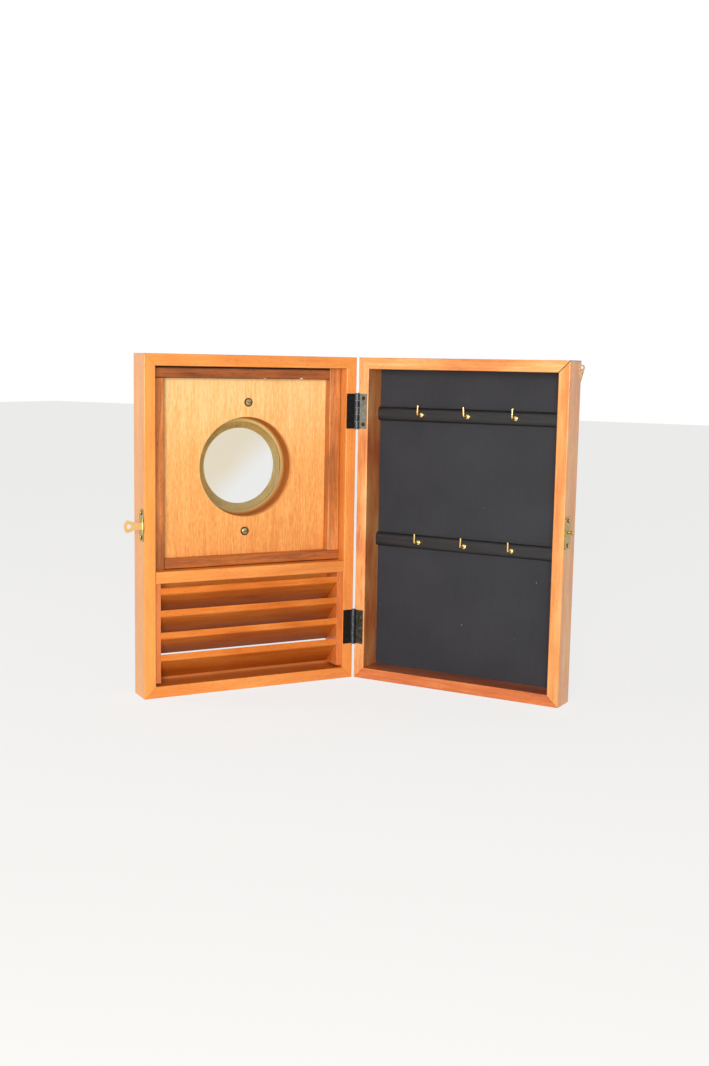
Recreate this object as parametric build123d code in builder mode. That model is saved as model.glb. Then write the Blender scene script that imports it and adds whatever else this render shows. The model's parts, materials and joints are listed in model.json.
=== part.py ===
"""Wall cabinet for keys with a porthole and a louvred door, shown standing open.

Sizes are in millimetres. X runs across the cabinet towards the catch side, Y towards the wall
and Z up. The origin is the centre of the cabinet's underside.
"""

import os
from math import cos, radians, sin

from build123d import *

# Overall case
case_height = 300.0
case_width = 204.0
cabinet_depth = 27.0
door_depth = 27.5
board = 10.5
arris = 1.0
mitre_gap = 0.2
joint_gap = 0.1

# Opening of the door, as it stands at rest
open_angle = 122.6
face_gap = 1.0
axis_offset = 0.6

# Back panel, in a rebate round the back of the cabinet
back_thickness = 2.5
rebate_width = 4.0
pin_head_radius = 1.2
pin_head_height = 0.6
pin_shank_radius = 0.5
pin_length = 8.0
pins_across = 2
pins_up = 3

# Hook rails and key hooks
rail_height = 12.8
rail_projection = 5.0
rail_round = 3.9
upper_rail_below_top = 51.3
rail_spacing = 117.6
hook_spacing = 46.3
hook_wire_radius = 0.95
hook_reach = 9.0
hook_rise = 8.8
hook_bend = 2.0
hook_tip_round = 0.65
hook_thread = 4.2
collar_radius = 2.1
collar_thickness = 1.1
collar_round = 0.5

# Door frame lip, middle rail and porthole panel
lip_width = 4.6
lip_depth = 3.5
mid_rail_top = 112.0
mid_rail_height = 10.3
mid_rail_drop = 9.0
panel_thickness = 4.0
side_strip_width = 11.6
top_strip_width = 10.2
bottom_strip_width = 9.0
strip_thickness = 9.0
strip_arris = 1.2

# Porthole, a little off the middle of its panel
porthole_x = -1.1
porthole_below_middle = 0.8
porthole_radius = 45.2
sight_radius = 34.5
ring_radius = 64.0
ring_flange = 3.0
ring_wall = 2.0
ring_proud = 12.0
ring_outer_round = 5.5
ring_inner_round = 3.5
ring_edge_round = 1.4
barrel_clearance = 0.6
glass_clearance = 0.6
glass_thickness = 2.0
ring_screw_circle = 58.2
ring_screw_turn = 1.45
ring_screw_bite = 2.0

# Louvre
stile_width = 5.2
stile_recess = 3.0
stile_foot_gap = 2.0
slat_edge = 6.0
slat_slopes = (0.96, 0.96, 0.88, 0.96)
slat_top_gap = 4.0
slat_bottom_gap = 8.2
tenon_length = 2.0
tenon_shoulder = 1.2

# Butt hinges
hinge_height = 32.0
hinge_from_end = 49.1
knuckle_radius = 2.2
knuckle_count = 5
knuckle_gap = 0.3
hinge_pin_radius = 0.8
hinge_pin_head_radius = 1.6
hinge_pin_head_height = 0.7
pin_clearance = 0.05
cabinet_leaf_reach = 9.6
door_leaf_reach = 10.6
leaf_thickness = 0.8
leaf_gap = 0.2
hinge_screw_from_centre = 12.0
hinge_screw_reach = 6.3

# Hasp and catch plate
catch_height = 153.0
plate_thickness = 0.9
plate_height = 28.0
plate_corner = 4.0
plate_setback = 0.8
hasp_plate_width = 10.0
catch_plate_width = 12.6
catch_screw_from_centre = 10.7
hasp_knuckle_radius = 1.15
hasp_pin_radius = 0.45
hasp_knuckle_height = 6.4
hasp_end_knuckle = 2.8
hasp_thickness = 1.0
hasp_rivet_radius = 0.9
hasp_rivet_height = 0.4
hasp_neck = 5.0
hasp_neck_reach = 4.4
hasp_fan_width = 11.4
hasp_fan_reach = 13.8
hasp_reach = 16.5
hasp_fan_round = 1.6
hasp_neck_round = 3.0
hasp_eye_radius = 2.0
hasp_eye_reach = 12.2
peg_radius = 1.1
peg_head_radius = 1.65
peg_height = 4.6
peg_head_height = 1.5
peg_head_cone = 0.4
peg_head_round = 0.8

# Hanging plates at the top back corners
hanger_thickness = 1.0
hanger_radius = 2.4
hanger_hole_radius = 1.15
hanger_below_top = 5.7
hanger_overhang = 0.6
hanger_length = 15.0
hanger_lean = 3.8
hanger_screw_shares = (0.55, 1.0)

# Screws
small_head_radius = 1.9
small_head_height = 1.1
small_shank_radius = 0.8
small_shank_length = 8.0
hinge_head_radius = 1.9
hinge_head_height = 1.1
hinge_shank_length = 8.0
ring_head_radius = 3.9
ring_head_height = 2.2
ring_shank_radius = 1.4
ring_slot_width = 0.9
ring_slot_depth = 0.8
hanger_head_radius = 1.5
hanger_head_height = 0.8
hanger_shank_radius = 0.6
hanger_shank_length = 7.0
slot_width = 0.5
slot_depth = 0.4
head_dome_share = 0.85
hole_clearance = 0.05

# Values worked out from the sizes above
half_width = case_width / 2
back_y = cabinet_depth / 2
parting_y = -cabinet_depth / 2
rail_underside = mid_rail_top - mid_rail_height
panel_depth = door_depth - lip_depth - panel_thickness
strip_depth = panel_depth - strip_thickness
porthole_z = (mid_rail_top + case_height - board) / 2 - porthole_below_middle
louvre_depth = door_depth - lip_depth - stile_recess
slat_count = len(slat_slopes)
slat_pitch = (rail_underside - board - slat_top_gap - slat_bottom_gap) / slat_count
rail_front_y = back_y - back_thickness - rail_projection
upper_rail_z = case_height - upper_rail_below_top
hinge_heights = (case_height - hinge_from_end, hinge_from_end)
leaf_reach = {"cabinet": cabinet_leaf_reach, "door": door_leaf_reach}
catch_plate_y = parting_y + plate_setback + catch_plate_width / 2

# The cabinet's parting face, whose normal points to the wall, and the hinge axis
cabinet_face = Plane(origin=(0, parting_y, 0), x_dir=(-1, 0, 0), z_dir=(0, 1, 0))
hinge_axis = Vector(-half_width - axis_offset, parting_y - face_gap / 2, 0)

# The door's own frame: x across the door from hinge to free side, y as the cabinet's Y when shut
door_across = Vector(cos(radians(open_angle)), -sin(radians(open_angle)), 0)
door_frame = Plane(
    origin=hinge_axis + door_across * (half_width + axis_offset), x_dir=door_across, z_dir=(0, 0, 1)
)
door_outward = door_frame.y_dir * -1
door_face = Plane(
    origin=door_frame.origin + door_outward * (face_gap / 2), x_dir=door_across, z_dir=door_outward
)

os.makedirs("parts", exist_ok=True)


def save(piece, label):
    """Label a finished piece and write it as one STEP file."""
    piece.part.label = label
    export_step(piece.part, f"parts/{label}.step")


def door_point(x, depth, z):
    """A point of the door: x across, depth from the parting face towards its front, z up."""
    return door_face.from_local_coords((x, z, depth))


def frame_board(face, x, z, inward, length, outline, rounded):
    """One mitred board of a frame.

    face is the parting face, with its normal into the board, and x, z the middle of the board's
    outer edge on it. outline gives the section's corners as (across, depth), and rounded the
    radius for each corner that is eased.
    """
    across = face.x_dir * inward[0] + face.y_dir * inward[1]
    run = across.cross(face.z_dir)
    section = Plane(origin=face.from_local_coords((x, z, 0)), x_dir=across, z_dir=run)
    with BuildPart() as piece:
        with BuildSketch(section) as profile:
            with BuildLine():
                Polyline(*outline, close=True)
            make_face()
            for corner, radius in rounded.items():
                fillet(profile.vertices().sort_by_distance((*corner, 0))[0], radius=radius)
        extrude(amount=length / 2, both=True)
        for end in (1, -1):
            corner = section.origin + run * (end * (length / 2 - mitre_gap / 2))
            split(bisect_by=Plane(origin=corner, z_dir=run * end + across), keep=Keep.BOTTOM)
    return piece.part


def four_sides():
    """The four boards of a frame: name, middle of the outer edge, inward direction and length."""
    middle = case_height / 2
    return {
        "top": ((0, case_height), (0, -1), case_width),
        "bottom": ((0, 0), (0, 1), case_width),
        "plus": ((half_width, middle), (-1, 0), case_height),
        "minus": ((-half_width, middle), (1, 0), case_height),
    }


def cabinet_board(side):
    """A cabinet board, rebated at the back for the back panel."""
    (x, z), inward, length = four_sides()[side]
    rebate_depth = cabinet_depth - back_thickness
    outline = [
        (0, 0), (board, 0), (board, rebate_depth), (board - rebate_width, rebate_depth),
        (board - rebate_width, cabinet_depth), (0, cabinet_depth),
    ]
    rounded = {(0, 0): arris, (board, 0): arris, (0, cabinet_depth): arris}
    return frame_board(cabinet_face, x, z, inward, length, outline, rounded)


def door_board(side):
    """A door board, with a lip along its front that holds the panel and the louvre."""
    (x, z), inward, length = four_sides()[side]
    lip_start = door_depth - lip_depth
    outline = [
        (0, 0), (board, 0), (board, lip_start), (board + lip_width, lip_start),
        (board + lip_width, door_depth), (0, door_depth),
    ]
    rounded = {
        (0, 0): arris, (board, 0): arris, (0, door_depth): arris,
        (board + lip_width, door_depth): arris,
    }
    return frame_board(door_face, x, z, inward, length, outline, rounded)


def turned(seat, outline, domed=0.0):
    """A turned piece on the seat's axis, from its (radius, height) corners, domed at its top rim."""
    upright = Plane(origin=seat.origin, x_dir=seat.x_dir, z_dir=seat.y_dir * -1)
    with BuildPart() as piece:
        with BuildSketch(upright):
            with BuildLine():
                Polyline(*outline, close=True)
            make_face()
        revolve(axis=Axis(seat.origin, seat.z_dir))
        if domed:
            top = piece.edges().filter_by(GeomType.CIRCLE).sort_by(Axis(seat.origin, seat.z_dir))[-1]
            fillet(top, radius=domed)
    return piece.part


def slot_cut(seat, head_radius, height, width=slot_width, depth=slot_depth):
    """The slot across a screw head whose top is at the given height on the seat."""
    with BuildPart(seat) as cut:
        with Locations((0, 0, height)):
            Box(3 * head_radius, width, 2 * depth)
    return cut.part


def countersunk_outline(head_radius, head_height, shank_radius, shank_length, grow):
    """Corners of a countersunk screw, flush with its seat, or of its hole, grown by a clearance."""
    return [
        (0, 0), (head_radius + grow, 0), (shank_radius + grow, -head_height),
        (shank_radius + grow, -shank_length), (0, -shank_length),
    ]


def hinge_screw(seat, grow=0.0):
    """A countersunk hinge screw, or its hole when grown."""
    outline = countersunk_outline(
        hinge_head_radius, hinge_head_height, small_shank_radius, hinge_shank_length + grow, grow
    )
    return turned(seat, outline)


def round_screw(seat, head_radius, head_height, shank_radius, shank_length):
    """A round-head screw whose head sits on the seat."""
    outline = [
        (0, -shank_length), (shank_radius, -shank_length), (shank_radius, 0),
        (head_radius, 0), (head_radius, head_height), (0, head_height),
    ]
    return turned(seat, outline, domed=head_dome_share * min(head_height, head_radius))


def shank_hole(seat, shank_radius, shank_length, above=0.0):
    """The hole for a screw's shank, from above the seat down to just past the shank's end."""
    radius = shank_radius + hole_clearance
    bottom = -shank_length - hole_clearance
    return turned(seat, [(0, bottom), (radius, bottom), (radius, above), (0, above)])


def hinge_screw_seats(side):
    """Seats of the four screws of the cabinet's or the door's leaves, on their proud faces."""
    seats = []
    for z in hinge_heights:
        for end in (1, -1):
            height = z + end * hinge_screw_from_centre
            if side == "cabinet":
                point = hinge_axis + Vector(hinge_screw_reach, leaf_gap / 2, height)
                seats.append(Plane(origin=point, x_dir=(1, 0, 0), z_dir=(0, -1, 0)))
            else:
                point = (
                    hinge_axis + door_across * hinge_screw_reach
                    + door_outward * (leaf_gap / 2) + Vector(0, 0, height)
                )
                seats.append(Plane(origin=point, x_dir=door_across, z_dir=door_outward * -1))
    return seats


def leaf_frame(side, z):
    """Frame of a hinge leaf: x from the hinge axis over the wood, y into the wood."""
    origin = hinge_axis + Vector(0, 0, z)
    if side == "cabinet":
        return Plane(origin=origin, x_dir=(1, 0, 0), z_dir=(0, 0, 1))
    return Plane(origin=origin, x_dir=door_across, z_dir=(0, 0, -1))


def leaf_housing(side, z):
    """The housing in the wood for a hinge leaf, hollowed along its corner for the knuckles."""
    depth = leaf_gap / 2 + leaf_thickness - face_gap / 2
    with BuildPart(leaf_frame(side, z)) as cut:
        with Locations((0, face_gap / 2 + depth, 0)):
            Box(
                leaf_reach[side] + joint_gap, 2 * depth, hinge_height + 2 * joint_gap,
                align=(Align.MIN, Align.MAX, Align.CENTER),
            )
        Cylinder(knuckle_radius + knuckle_gap, hinge_height + 2 * (hinge_pin_head_height + joint_gap))
    return cut.part


def hook_seats():
    """Seats of the six key hooks on the front of the two rails, z pointing out to the front."""
    seats = []
    for rail_z in (upper_rail_z, upper_rail_z - rail_spacing):
        for step in (-1, 0, 1):
            point = (step * hook_spacing, rail_front_y, rail_z)
            seats.append(Plane(origin=point, x_dir=(1, 0, 0), z_dir=(0, -1, 0)))
    return seats


def back_pin_seats():
    """Seats of the pins round the back panel, over the middle of the rebate."""
    inset = board - rebate_width / 2
    pin_x = half_width - inset
    pin_z = (inset, case_height - inset)
    seats = []
    for z in pin_z:
        for step in range(pins_across):
            x = pin_x * ((step + 0.5) * 2 / pins_across - 1)
            seats.append(Plane(origin=(x, back_y, z), x_dir=(1, 0, 0), z_dir=(0, 1, 0)))
    for x in (-pin_x, pin_x):
        for step in range(pins_up):
            z = inset + (case_height - 2 * inset) * (step + 0.5) / pins_up
            seats.append(Plane(origin=(x, back_y, z), x_dir=(1, 0, 0), z_dir=(0, 1, 0)))
    return seats


def catch_screw_seats():
    """Seats of the catch plate's two screws, on the plate's outer face."""
    seats = []
    for end in (1, -1):
        height = catch_height + end * catch_screw_from_centre
        point = (half_width + plate_thickness, catch_plate_y, height)
        seats.append(Plane(origin=point, x_dir=(0, 1, 0), z_dir=(1, 0, 0)))
    return seats


def hanger_points(side):
    """Eye and tail centres of a hanging plate on the back, as (x, z), on side -1 or 1."""
    eye = (side * (half_width + hanger_overhang), case_height - hanger_below_top)
    tail = (eye[0] - side * hanger_lean, eye[1] - hanger_length)
    return eye, tail


def hanger_screw_seats(side):
    """Seats of the two screws of one hanging plate, on its back."""
    eye, tail = hanger_points(side)
    seats = []
    for share in hanger_screw_shares:
        x = eye[0] + (tail[0] - eye[0]) * share
        z = eye[1] + (tail[1] - eye[1]) * share
        seats.append(Plane(origin=(x, back_y, z), x_dir=(1, 0, 0), z_dir=(0, 1, 0)))
    return seats


def hanger_body(side, grow=0.0):
    """The strip of a hanging plate, flush with the back, or its housing when grown."""
    eye, tail = hanger_points(side)
    with BuildPart() as piece:
        with BuildSketch(Plane.XZ.offset(-back_y)):
            with Locations(eye, tail):
                Circle(hanger_radius + grow)
            make_hull()
        extrude(amount=hanger_thickness)
    return piece.part


def panel_pin(seat, grow=0.0):
    """A flush pin of the back panel, or its hole when grown."""
    outline = countersunk_outline(
        pin_head_radius, pin_head_height, pin_shank_radius, pin_length + grow, grow
    )
    return turned(seat, outline)


def hanger_screw(seat, grow=0.0):
    """A small countersunk screw of a hanging plate, or its hole when grown."""
    outline = countersunk_outline(
        hanger_head_radius, hanger_head_height, hanger_shank_radius, hanger_shank_length + grow, grow
    )
    return turned(seat, outline)


# Cabinet boards

for side, label in (("top", "cabinet_top"), ("bottom", "cabinet_bottom")):
    with BuildPart() as plain_board:
        add(cabinet_board(side))
        for seat in back_pin_seats():
            add(panel_pin(seat, hole_clearance), mode=Mode.SUBTRACT)
        if side == "top":
            for hanger_side in (-1, 1):
                add(hanger_body(hanger_side, joint_gap), mode=Mode.SUBTRACT)
    save(plain_board, label)

with BuildPart() as cabinet_hinge_side:
    add(cabinet_board("plus"))
    for z in hinge_heights:
        add(leaf_housing("cabinet", z), mode=Mode.SUBTRACT)
    for seat in hinge_screw_seats("cabinet"):
        add(hinge_screw(seat, hole_clearance), mode=Mode.SUBTRACT)
    for seat in back_pin_seats():
        add(panel_pin(seat, hole_clearance), mode=Mode.SUBTRACT)
    add(hanger_body(-1, joint_gap), mode=Mode.SUBTRACT)
    for seat in hanger_screw_seats(-1):
        add(hanger_screw(seat, hole_clearance), mode=Mode.SUBTRACT)
save(cabinet_hinge_side, "cabinet_hinge_side")

with BuildPart() as cabinet_catch_side:
    add(cabinet_board("minus"))
    for seat in catch_screw_seats():
        add(shank_hole(seat, small_shank_radius, small_shank_length), mode=Mode.SUBTRACT)
    for seat in back_pin_seats():
        add(panel_pin(seat, hole_clearance), mode=Mode.SUBTRACT)
    add(hanger_body(1, joint_gap), mode=Mode.SUBTRACT)
    for seat in hanger_screw_seats(1):
        add(hanger_screw(seat, hole_clearance), mode=Mode.SUBTRACT)
save(cabinet_catch_side, "cabinet_catch_side")

# Back panel and its pins

with BuildPart() as back_panel:
    inset = board - rebate_width + joint_gap
    with Locations((0, back_y - back_thickness / 2, case_height / 2)):
        Box(case_width - 2 * inset, back_thickness, case_height - 2 * inset)
    for seat in back_pin_seats():
        add(panel_pin(seat, hole_clearance), mode=Mode.SUBTRACT)
save(back_panel, "back_panel")

with BuildPart() as back_panel_pins:
    for seat in back_pin_seats():
        add(panel_pin(seat))
save(back_panel_pins, "back_panel_pins")

# Hook rails and key hooks

for label, rail_z in (
    ("upper_hook_rail", upper_rail_z), ("lower_hook_rail", upper_rail_z - rail_spacing)
):
    with BuildPart() as hook_rail:
        with BuildSketch(Plane.YZ) as rail_section:
            with Locations((rail_front_y + rail_projection / 2, rail_z)):
                Rectangle(rail_projection, rail_height)
            fillet(rail_section.vertices().group_by(Axis.X)[0], radius=rail_round)
        extrude(amount=half_width - board, both=True)
        for seat in hook_seats():
            add(shank_hole(seat, hook_wire_radius, hook_thread), mode=Mode.SUBTRACT)
    save(hook_rail, label)

for number, seat in enumerate(hook_seats(), start=1):
    with BuildPart() as key_hook:
        start = seat.from_local_coords((0, 0, -hook_thread))
        knee = seat.from_local_coords((0, 0, hook_reach))
        tip = knee + Vector(0, 0, hook_rise)
        with BuildLine():
            FilletPolyline(start, knee, tip, radius=hook_bend)
        with BuildSketch(Plane(origin=start, z_dir=seat.z_dir)):
            Circle(hook_wire_radius)
        sweep()
        fillet(key_hook.edges().group_by(Axis.Z)[-1], radius=hook_tip_round)
        add(turned(seat, [(0, 0), (collar_radius, 0), (collar_radius, collar_thickness),
                          (0, collar_thickness)], domed=collar_round))
    save(key_hook, f"key_hook_{number}")

# Hinges: one leaf on each half, and the pin


def knuckle_middles(side):
    """Middle heights of one leaf's knuckles: the cabinet's leaf has the first, third and fifth."""
    length = hinge_height / knuckle_count
    first = 0 if side == "cabinet" else 1
    return [(step + 0.5) * length - hinge_height / 2 for step in range(first, knuckle_count, 2)]


def hinge_leaf(side, z):
    """One hinge leaf with its knuckles, cut away where the other leaf's knuckles turn."""
    knuckle_length = hinge_height / knuckle_count
    other_side = "door" if side == "cabinet" else "cabinet"
    with BuildPart(leaf_frame(side, z)) as leaf:
        with Locations((0, leaf_gap / 2, 0)):
            Box(
                leaf_reach[side], leaf_thickness, hinge_height,
                align=(Align.MIN, Align.MIN, Align.CENTER),
            )
        for middle in knuckle_middles(other_side):
            with Locations((0, 0, middle)):
                Box(
                    2 * (knuckle_radius + knuckle_gap), 4 * knuckle_radius,
                    knuckle_length + knuckle_gap, mode=Mode.SUBTRACT,
                )
        for middle in knuckle_middles(side):
            with Locations((0, 0, middle)):
                Cylinder(knuckle_radius, knuckle_length - knuckle_gap)
        Cylinder(hinge_pin_radius + pin_clearance, 2 * hinge_height, mode=Mode.SUBTRACT)
    return leaf.part


for place, z in zip(("upper", "lower"), hinge_heights):
    for side in ("cabinet", "door"):
        with BuildPart() as leaf:
            add(hinge_leaf(side, z))
            for seat in hinge_screw_seats(side):
                add(hinge_screw(seat, hole_clearance), mode=Mode.SUBTRACT)
        save(leaf, f"{place}_hinge_{side}_leaf")
    with BuildPart() as hinge_pin:
        barrel_end = hinge_height / 2
        pin_end = barrel_end + hinge_pin_head_height
        middle = Plane(origin=hinge_axis + Vector(0, 0, z), z_dir=(0, 0, 1))
        add(turned(middle, [
            (0, -pin_end), (hinge_pin_head_radius, -pin_end), (hinge_pin_head_radius, -barrel_end),
            (hinge_pin_radius, -barrel_end), (hinge_pin_radius, barrel_end),
            (hinge_pin_head_radius, barrel_end), (hinge_pin_head_radius, pin_end), (0, pin_end),
        ]))
    save(hinge_pin, f"{place}_hinge_pin")

for side in ("cabinet", "door"):
    with BuildPart() as hinge_screws:
        for seat in hinge_screw_seats(side):
            add(hinge_screw(seat))
            add(slot_cut(seat, hinge_head_radius, 0), mode=Mode.SUBTRACT)
    save(hinge_screws, f"{side}_hinge_screws")

# Catch plate with its peg, on the cabinet's side

catch_peg_y = parting_y - face_gap + hasp_eye_reach
peg_seat = Plane(
    origin=(half_width + plate_thickness, catch_peg_y, catch_height), x_dir=(0, 1, 0), z_dir=(1, 0, 0)
)

with BuildPart() as catch_plate:
    with BuildSketch(Plane.YZ.offset(half_width)) as plate_outline:
        with Locations((catch_plate_y, catch_height)):
            RectangleRounded(catch_plate_width, plate_height, plate_corner)
    extrude(amount=plate_thickness)
    for seat in catch_screw_seats():
        add(shank_hole(seat, small_shank_radius, small_shank_length), mode=Mode.SUBTRACT)
    add(shank_hole(peg_seat, peg_radius, plate_thickness), mode=Mode.SUBTRACT)
save(catch_plate, "catch_plate")

with BuildPart() as catch_peg:
    neck_top = peg_height - plate_thickness - peg_head_height
    add(turned(peg_seat, [
        (0, -plate_thickness), (peg_radius, -plate_thickness), (peg_radius, neck_top),
        (peg_head_radius, neck_top + peg_head_cone), (peg_head_radius, peg_height - plate_thickness),
        (0, peg_height - plate_thickness),
    ], domed=peg_head_round))
save(catch_peg, "catch_peg")

with BuildPart() as catch_plate_screws:
    for seat in catch_screw_seats():
        add(round_screw(
            seat, small_head_radius, small_head_height, small_shank_radius, small_shank_length
        ))
        add(slot_cut(seat, small_head_radius, small_head_height), mode=Mode.SUBTRACT)
save(catch_plate_screws, "catch_plate_screws")

# Hanging plates at the top back corners

for side, label in ((-1, "hinge_side"), (1, "catch_side")):
    with BuildPart() as hanging_plate:
        add(hanger_body(side))
        eye, tail = hanger_points(side)
        eye_seat = Plane(origin=(eye[0], back_y, eye[1]), x_dir=(1, 0, 0), z_dir=(0, 1, 0))
        add(shank_hole(eye_seat, hanger_hole_radius, hanger_thickness), mode=Mode.SUBTRACT)
        for seat in hanger_screw_seats(side):
            add(hanger_screw(seat, hole_clearance), mode=Mode.SUBTRACT)
    save(hanging_plate, f"{label}_hanging_plate")

with BuildPart() as hanging_plate_screws:
    for side in (-1, 1):
        for seat in hanger_screw_seats(side):
            add(hanger_screw(seat))
            add(slot_cut(seat, hanger_head_radius, 0), mode=Mode.SUBTRACT)
save(hanging_plate_screws, "hanging_plate_screws")

# Door boards, with housings for the hinges and holes for the hasp plate's screws

hasp_plate_depth = plate_setback + hasp_plate_width / 2


def hasp_screw_seats():
    """Seats of the hasp plate's two screws, on the plate's outer face."""
    seats = []
    for end in (1, -1):
        point = door_point(
            half_width + plate_thickness, hasp_plate_depth, catch_height + end * catch_screw_from_centre
        )
        seats.append(Plane(origin=point, x_dir=door_outward, z_dir=door_across))
    return seats


for side, label in (("top", "door_top"), ("bottom", "door_bottom")):
    with BuildPart() as plain_board:
        add(door_board(side))
    save(plain_board, label)

with BuildPart() as door_hinge_side:
    add(door_board("minus"))
    for z in hinge_heights:
        add(leaf_housing("door", z), mode=Mode.SUBTRACT)
    for seat in hinge_screw_seats("door"):
        add(hinge_screw(seat, hole_clearance), mode=Mode.SUBTRACT)
save(door_hinge_side, "door_hinge_side")

with BuildPart() as door_free_side:
    add(door_board("plus"))
    for seat in hasp_screw_seats():
        add(shank_hole(seat, small_shank_radius, small_shank_length), mode=Mode.SUBTRACT)
save(door_free_side, "door_free_side")

# Middle rail: a bar between the side boards, with a front flange that laps panel and louvre

inner_half = half_width - board - joint_gap

with BuildPart() as middle_rail:
    with BuildSketch(door_face):
        with Locations((0, mid_rail_top - mid_rail_height / 2)):
            Rectangle(2 * inner_half, mid_rail_height)
    extrude(amount=door_depth)
    flange_half = inner_half - lip_width
    with BuildSketch(door_face.offset(door_depth - lip_depth)):
        with Locations((0, mid_rail_top + lip_width)):
            Rectangle(
                2 * flange_half, lip_width + mid_rail_height + mid_rail_drop,
                align=(Align.CENTER, Align.MAX),
            )
    extrude(amount=lip_depth)
    with BuildSketch(door_face.offset(door_depth - lip_depth)):
        for side in (-1, 1):
            with Locations((side * inner_half, mid_rail_top - mid_rail_height / 2)):
                Rectangle(2 * lip_width + 2 * joint_gap, 2 * mid_rail_height)
    extrude(amount=lip_depth, mode=Mode.SUBTRACT)
    rail_edges = middle_rail.edges().filter_by(Axis((0, 0, 0), door_across))
    fillet(rail_edges.group_by(Axis((0, 0, 0), door_outward))[0], radius=arris / 2)
save(middle_rail, "middle_rail")

# Porthole panel, its screw holes and the four butted strips that hold it


def ring_screw_seats():
    """Seats of the two screws that hold the porthole ring, on the panel's inner face."""
    seats = []
    for end in (1, -1):
        out = end * ring_screw_circle
        point = door_point(
            porthole_x - out * sin(radians(ring_screw_turn)), panel_depth,
            porthole_z + out * cos(radians(ring_screw_turn)),
        )
        seats.append(Plane(origin=point, x_dir=(0, 0, 1), z_dir=door_outward * -1))
    return seats


ring_shank_length = panel_thickness + ring_screw_bite

panel_bottom = mid_rail_top + joint_gap
panel_top = case_height - board - joint_gap

with BuildPart() as porthole_panel:
    with BuildSketch(door_face.offset(panel_depth)):
        with Locations((0, (panel_bottom + panel_top) / 2)):
            Rectangle(2 * inner_half, panel_top - panel_bottom)
        with Locations((porthole_x, porthole_z)):
            Circle(porthole_radius, mode=Mode.SUBTRACT)
    extrude(amount=panel_thickness)
    for seat in ring_screw_seats():
        add(shank_hole(seat, ring_shank_radius, ring_shank_length), mode=Mode.SUBTRACT)
save(porthole_panel, "porthole_panel")

strip_inner = inner_half - side_strip_width
bottom_strip_top = panel_bottom + bottom_strip_width
top_strip_bottom = panel_top - top_strip_width
strips = {
    "top_panel_strip": (-strip_inner + joint_gap, inner_half, top_strip_bottom, panel_top),
    "bottom_panel_strip": (-inner_half, strip_inner - joint_gap, panel_bottom, bottom_strip_top),
    "free_side_panel_strip": (
        strip_inner, inner_half, panel_bottom, top_strip_bottom - joint_gap
    ),
    "hinge_side_panel_strip": (
        -inner_half, -strip_inner, bottom_strip_top + joint_gap, panel_top
    ),
}
for label, (x_low, x_high, z_low, z_high) in strips.items():
    with BuildPart() as panel_strip:
        with BuildSketch(door_face.offset(strip_depth)):
            with Locations(((x_low + x_high) / 2, (z_low + z_high) / 2)):
                Rectangle(x_high - x_low, z_high - z_low)
        extrude(amount=strip_thickness)
        front = panel_strip.faces().sort_by(Axis((0, 0, 0), door_outward))[0]
        along = door_across if x_high - x_low > z_high - z_low else Vector(0, 0, 1)
        fillet(front.edges().filter_by(Axis((0, 0, 0), along)), radius=strip_arris)
    save(panel_strip, label)

# Porthole ring, its glass and its screws

ring_axis = Plane(
    origin=door_point(porthole_x, 0, porthole_z), x_dir=door_across, z_dir=door_outward
)
barrel_radius = porthole_radius - barrel_clearance
glass_radius = barrel_radius - ring_inner_round - glass_clearance
ring_back = door_depth - lip_depth
ring_front = door_depth + ring_proud
shoulder_radius = barrel_radius + ring_wall

with BuildPart() as porthole_ring:
    upright = Plane(origin=ring_axis.origin, x_dir=ring_axis.x_dir, z_dir=ring_axis.y_dir * -1)
    with BuildSketch(upright) as ring_section:
        with BuildLine():
            Polyline(
                (barrel_radius, ring_back), (ring_radius, ring_back),
                (ring_radius, ring_back + ring_flange), (shoulder_radius, ring_back + ring_flange),
                (shoulder_radius, ring_front), (sight_radius, ring_front),
                (sight_radius, ring_front - ring_wall), (barrel_radius, ring_front - ring_wall),
                close=True,
            )
        make_face()
        for corner, radius in (
            ((shoulder_radius, ring_front), ring_outer_round),
            ((barrel_radius, ring_front - ring_wall), ring_inner_round),
            ((ring_radius, ring_back + ring_flange), ring_edge_round),
            ((shoulder_radius, ring_back + ring_flange), ring_edge_round / 2),
            ((sight_radius, ring_front), ring_edge_round / 2),
        ):
            fillet(ring_section.vertices().sort_by_distance((*corner, 0))[0], radius=radius)
    revolve(axis=Axis(ring_axis.origin, ring_axis.z_dir))
    for seat in ring_screw_seats():
        add(shank_hole(seat, ring_shank_radius, ring_shank_length), mode=Mode.SUBTRACT)
save(porthole_ring, "porthole_ring")

with BuildPart() as porthole_glass:
    with BuildSketch(ring_axis.offset(ring_front - ring_wall - glass_thickness)):
        Circle(glass_radius)
    extrude(amount=glass_thickness)
save(porthole_glass, "porthole_glass")

with BuildPart() as porthole_screws:
    for seat in ring_screw_seats():
        add(round_screw(
            seat, ring_head_radius, ring_head_height, ring_shank_radius, ring_shank_length
        ))
        slot = slot_cut(seat, ring_head_radius, ring_head_height, ring_slot_width, ring_slot_depth)
        add(slot, mode=Mode.SUBTRACT)
save(porthole_screws, "porthole_screws")

# Louvre: two stiles with four slanted slats tenoned into them; the third slat lies flatter

stile_inner = inner_half - stile_width


def slat_section(number, shrink=0.0):
    """Section of a slat, counted from the top: high at the inside and low at the front."""
    top_z = rail_underside - slat_top_gap - number * slat_pitch
    slat_drop = slat_slopes[number] * louvre_depth
    plane = Plane(
        origin=door_point(0, stile_recess, top_z), x_dir=door_outward, z_dir=door_across * -1
    )
    with BuildSketch(plane) as section:
        with BuildLine():
            Polyline(
                (0, 0), (louvre_depth, -slat_drop),
                (louvre_depth, -slat_drop - slat_edge), (0, -slat_edge), close=True,
            )
        make_face()
        if shrink:
            offset(amount=-shrink, mode=Mode.REPLACE)
    return section.sketch


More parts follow.
